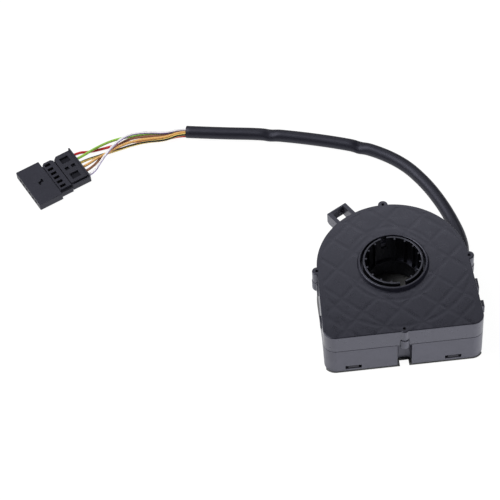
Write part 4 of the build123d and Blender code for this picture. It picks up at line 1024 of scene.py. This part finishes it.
@dataclass
class Studio:
    """White floor, soft lamps and the camera.

    The footprint is the housing's half width, reach to the front and corner radius.
    """

    target_mm: Point = (-72.20, 41.93, 0.0)
    distance: float = 1.0
    azimuth: float = -0.86
    elevation: float = 51.51
    roll: float = -5.41
    lens: float = 132.82
    sensor_width: float = 36.0
    floor_size: float = 8.0
    floor_drop: float = 0.0001
    floor_tone: float = 0.8
    floor_white: float = 0.85
    floor_lift: float = 0.12
    footprint_mm: tuple[float, float, float] = (41.3, 44.2, 6.3)
    footprint_radius_mm: float = 40.2
    notch_half_mm: float = 2.4
    notch_depth_mm: float = 40.6
    # Paper tone under the housing: a painted shade.
    shade_tone: float = 0.2
    sky: float = 0.08
    lamps: tuple[Lamp, ...] = (
        Lamp("overhead", (-0.75, 0.15, 1.0), 1.0, 14.0),
        Lamp("back", (0.07, 0.605, 0.50), 0.38, 0.62, 0.4),
        Lamp("left", (-0.36, 0.66, 0.55), 0.24, 0.16),
        Lamp("right", (0.9, -0.55, 0.25), 0.8, 9.0, 0.4, mirrored=False),
    )

    def floor(self) -> None:
        """Lay the pale floor: white to the eye and faintly shadowed; under the housing, and so inside the
        hub's bore, it does not glow and its paper is painted darker as a painted shade.
        """
        bpy.ops.object.select_all(action="DESELECT")
        bpy.ops.mesh.primitive_plane_add(size=self.floor_size, location=(0, 0, -self.floor_drop))
        plane = bpy.context.active_object
        plane.name = "floor"
        material = bpy.data.materials.new("white_floor")
        material.use_nodes = True
        tree = material.node_tree
        tree.nodes.clear()
        path = add_node(tree, "ShaderNodeLightPath")
        level = add_node(tree, "ShaderNodeMath", {"operation": "MULTIPLY_ADD", 1: self.floor_lift, 2: 1.0},
                         {0: path.outputs["Is Camera Ray"]})
        white = add_node(tree, "ShaderNodeEmission", links={"Strength": level})
        seen = add_node(tree, "ShaderNodeMath", {"operation": "MULTIPLY", 1: self.floor_white},
                        {0: path.outputs["Is Camera Ray"]})
        mirrored = add_node(tree, "ShaderNodeMath", {"operation": "MAXIMUM"},
                            {0: path.outputs["Is Glossy Ray"], 1: path.outputs["Is Transmission Ray"]})
        shown = add_node(tree, "ShaderNodeMath", {"operation": "MAXIMUM"}, {0: seen, 1: mirrored})
        clear = self.beside(tree)
        lit = add_node(tree, "ShaderNodeMath", {"operation": "MULTIPLY"}, {0: shown, 1: clear})
        # Under the housing the paper is painted down to shade_tone: a painted shade.
        tone = add_node(tree, "ShaderNodeMapRange",
                        {"To Min": self.shade_tone, "To Max": self.floor_tone}, {"Value": clear})
        paper = add_node(tree, "ShaderNodeBsdfDiffuse", links={"Color": tone})
        surface = add_node(tree, "ShaderNodeMixShader", links={0: lit, 1: paper, 2: white})
        add_node(tree, "ShaderNodeOutputMaterial", links={"Surface": surface})
        plane.data.materials.append(material)
        plane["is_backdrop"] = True

    def beside(self, tree: bpy.types.NodeTree) -> bpy.types.Node:
        """Tell which part of the floor lies beside the housing and not under it.

        Args:
            tree: the floor's node tree.

        Returns:
            The node that is 1 beside the housing and 0 under it.
        """
        place = add_node(tree, "ShaderNodeTexCoord").outputs["Object"]
        half, reach, corner = (value * MM for value in self.footprint_mm)
        mirrored = add_node(tree, "ShaderNodeVectorMath", {"operation": "ABSOLUTE"}, {0: place})
        past = add_node(tree, "ShaderNodeVectorMath",
                        {"operation": "SUBTRACT", 1: (half - corner, reach - corner, 0.0)}, {0: mirrored})
        kept = add_node(tree, "ShaderNodeVectorMath", {"operation": "MAXIMUM"}, {0: past})
        from_corner = add_node(tree, "ShaderNodeVectorMath", {"operation": "LENGTH"}, {0: kept})
        behind = add_node(tree, "ShaderNodeVectorMath", {"operation": "MAXIMUM", 1: (-1.0, 0.0, 0.0)},
                          {0: place})
        from_axis = add_node(tree, "ShaderNodeVectorMath", {"operation": "LENGTH"}, {0: behind})
        off_front = add_node(tree, "ShaderNodeMath", {"operation": "GREATER_THAN", 1: corner},
                             {0: from_corner.outputs["Value"]})
        off_back = add_node(tree, "ShaderNodeMath",
                            {"operation": "GREATER_THAN", 1: self.footprint_radius_mm * MM},
                            {0: from_axis.outputs["Value"]})
        beside = add_node(tree, "ShaderNodeMath", {"operation": "MAXIMUM"}, {0: off_front, 1: off_back})
        across = add_node(tree, "ShaderNodeSeparateXYZ", links={0: mirrored})
        off_notch = add_node(tree, "ShaderNodeMath",
                             {"operation": "GREATER_THAN", 1: self.notch_half_mm * MM},
                             {0: across.outputs["X"]})
        off_wall = add_node(tree, "ShaderNodeMath",
                            {"operation": "LESS_THAN", 1: self.notch_depth_mm * MM},
                            {0: across.outputs["Y"]})
        shade = add_node(tree, "ShaderNodeMath", {"operation": "MAXIMUM"}, {0: off_notch, 1: off_wall})
        in_notch = add_node(tree, "ShaderNodeMath", {"operation": "SUBTRACT", 0: 1.0}, {1: shade})
        return add_node(tree, "ShaderNodeMath", {"operation": "MAXIMUM"}, {0: beside, 1: in_notch})

    def light(self) -> None:
        """Set the sky and the lamps."""
        world = bpy.data.worlds.new("studio")
        bpy.context.scene.world = world
        world.use_nodes = True
        tree = world.node_tree
        tree.nodes.clear()
        path = add_node(tree, "ShaderNodeLightPath")
        strength = add_node(tree, "ShaderNodeMapRange", {"To Min": self.sky, "To Max": 1.0},
                            {"Value": path.outputs["Is Camera Ray"]})
        sky = add_node(tree, "ShaderNodeBackground", links={"Strength": strength})
        add_node(tree, "ShaderNodeOutputWorld", links={"Surface": sky})
        for lamp in self.lamps:
            lamp.hang()

    def camera(self) -> None:
        """Set the camera at the photograph's view."""
        turn, rise = radians(self.azimuth), radians(self.elevation)
        back = Vector((sin(turn) * cos(rise), -cos(turn) * cos(rise), sin(rise)))
        data = bpy.data.cameras.new("camera")
        data.lens = self.lens
        data.sensor_width = self.sensor_width
        holder = bpy.data.objects.new("camera", data)
        holder.location = Vector(self.target_mm) * MM + back * self.distance
        holder.rotation_mode = "QUATERNION"
        level = (-back).to_track_quat("-Z", "Y")
        holder.rotation_quaternion = level @ Quaternion((0, 0, 1), radians(self.roll))
        bpy.context.collection.objects.link(holder)
        bpy.context.scene.camera = holder

    def set_up(self) -> None:
        """Make the whole studio."""
        self.floor()
        self.light()
        self.camera()
        bpy.context.scene.view_settings.view_transform = "Standard"


def corners() -> list[list[float]]:
    """Lowest and highest corner of all that shows, as plain numbers."""
    low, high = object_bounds()
    return [list(low), list(high)]


def main() -> None:
    """Build the scene in order and report each piece."""
    logging.basicConfig(level=logging.INFO, format="%(message)s")
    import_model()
    Studio().set_up()
    Lead().make()
    for part in (Shells(), Electronics(), Rotor(), Plug()):
        part.dress()
        LOG.info("%s done", type(part).__name__)


if __name__ == "__main__":
    main()
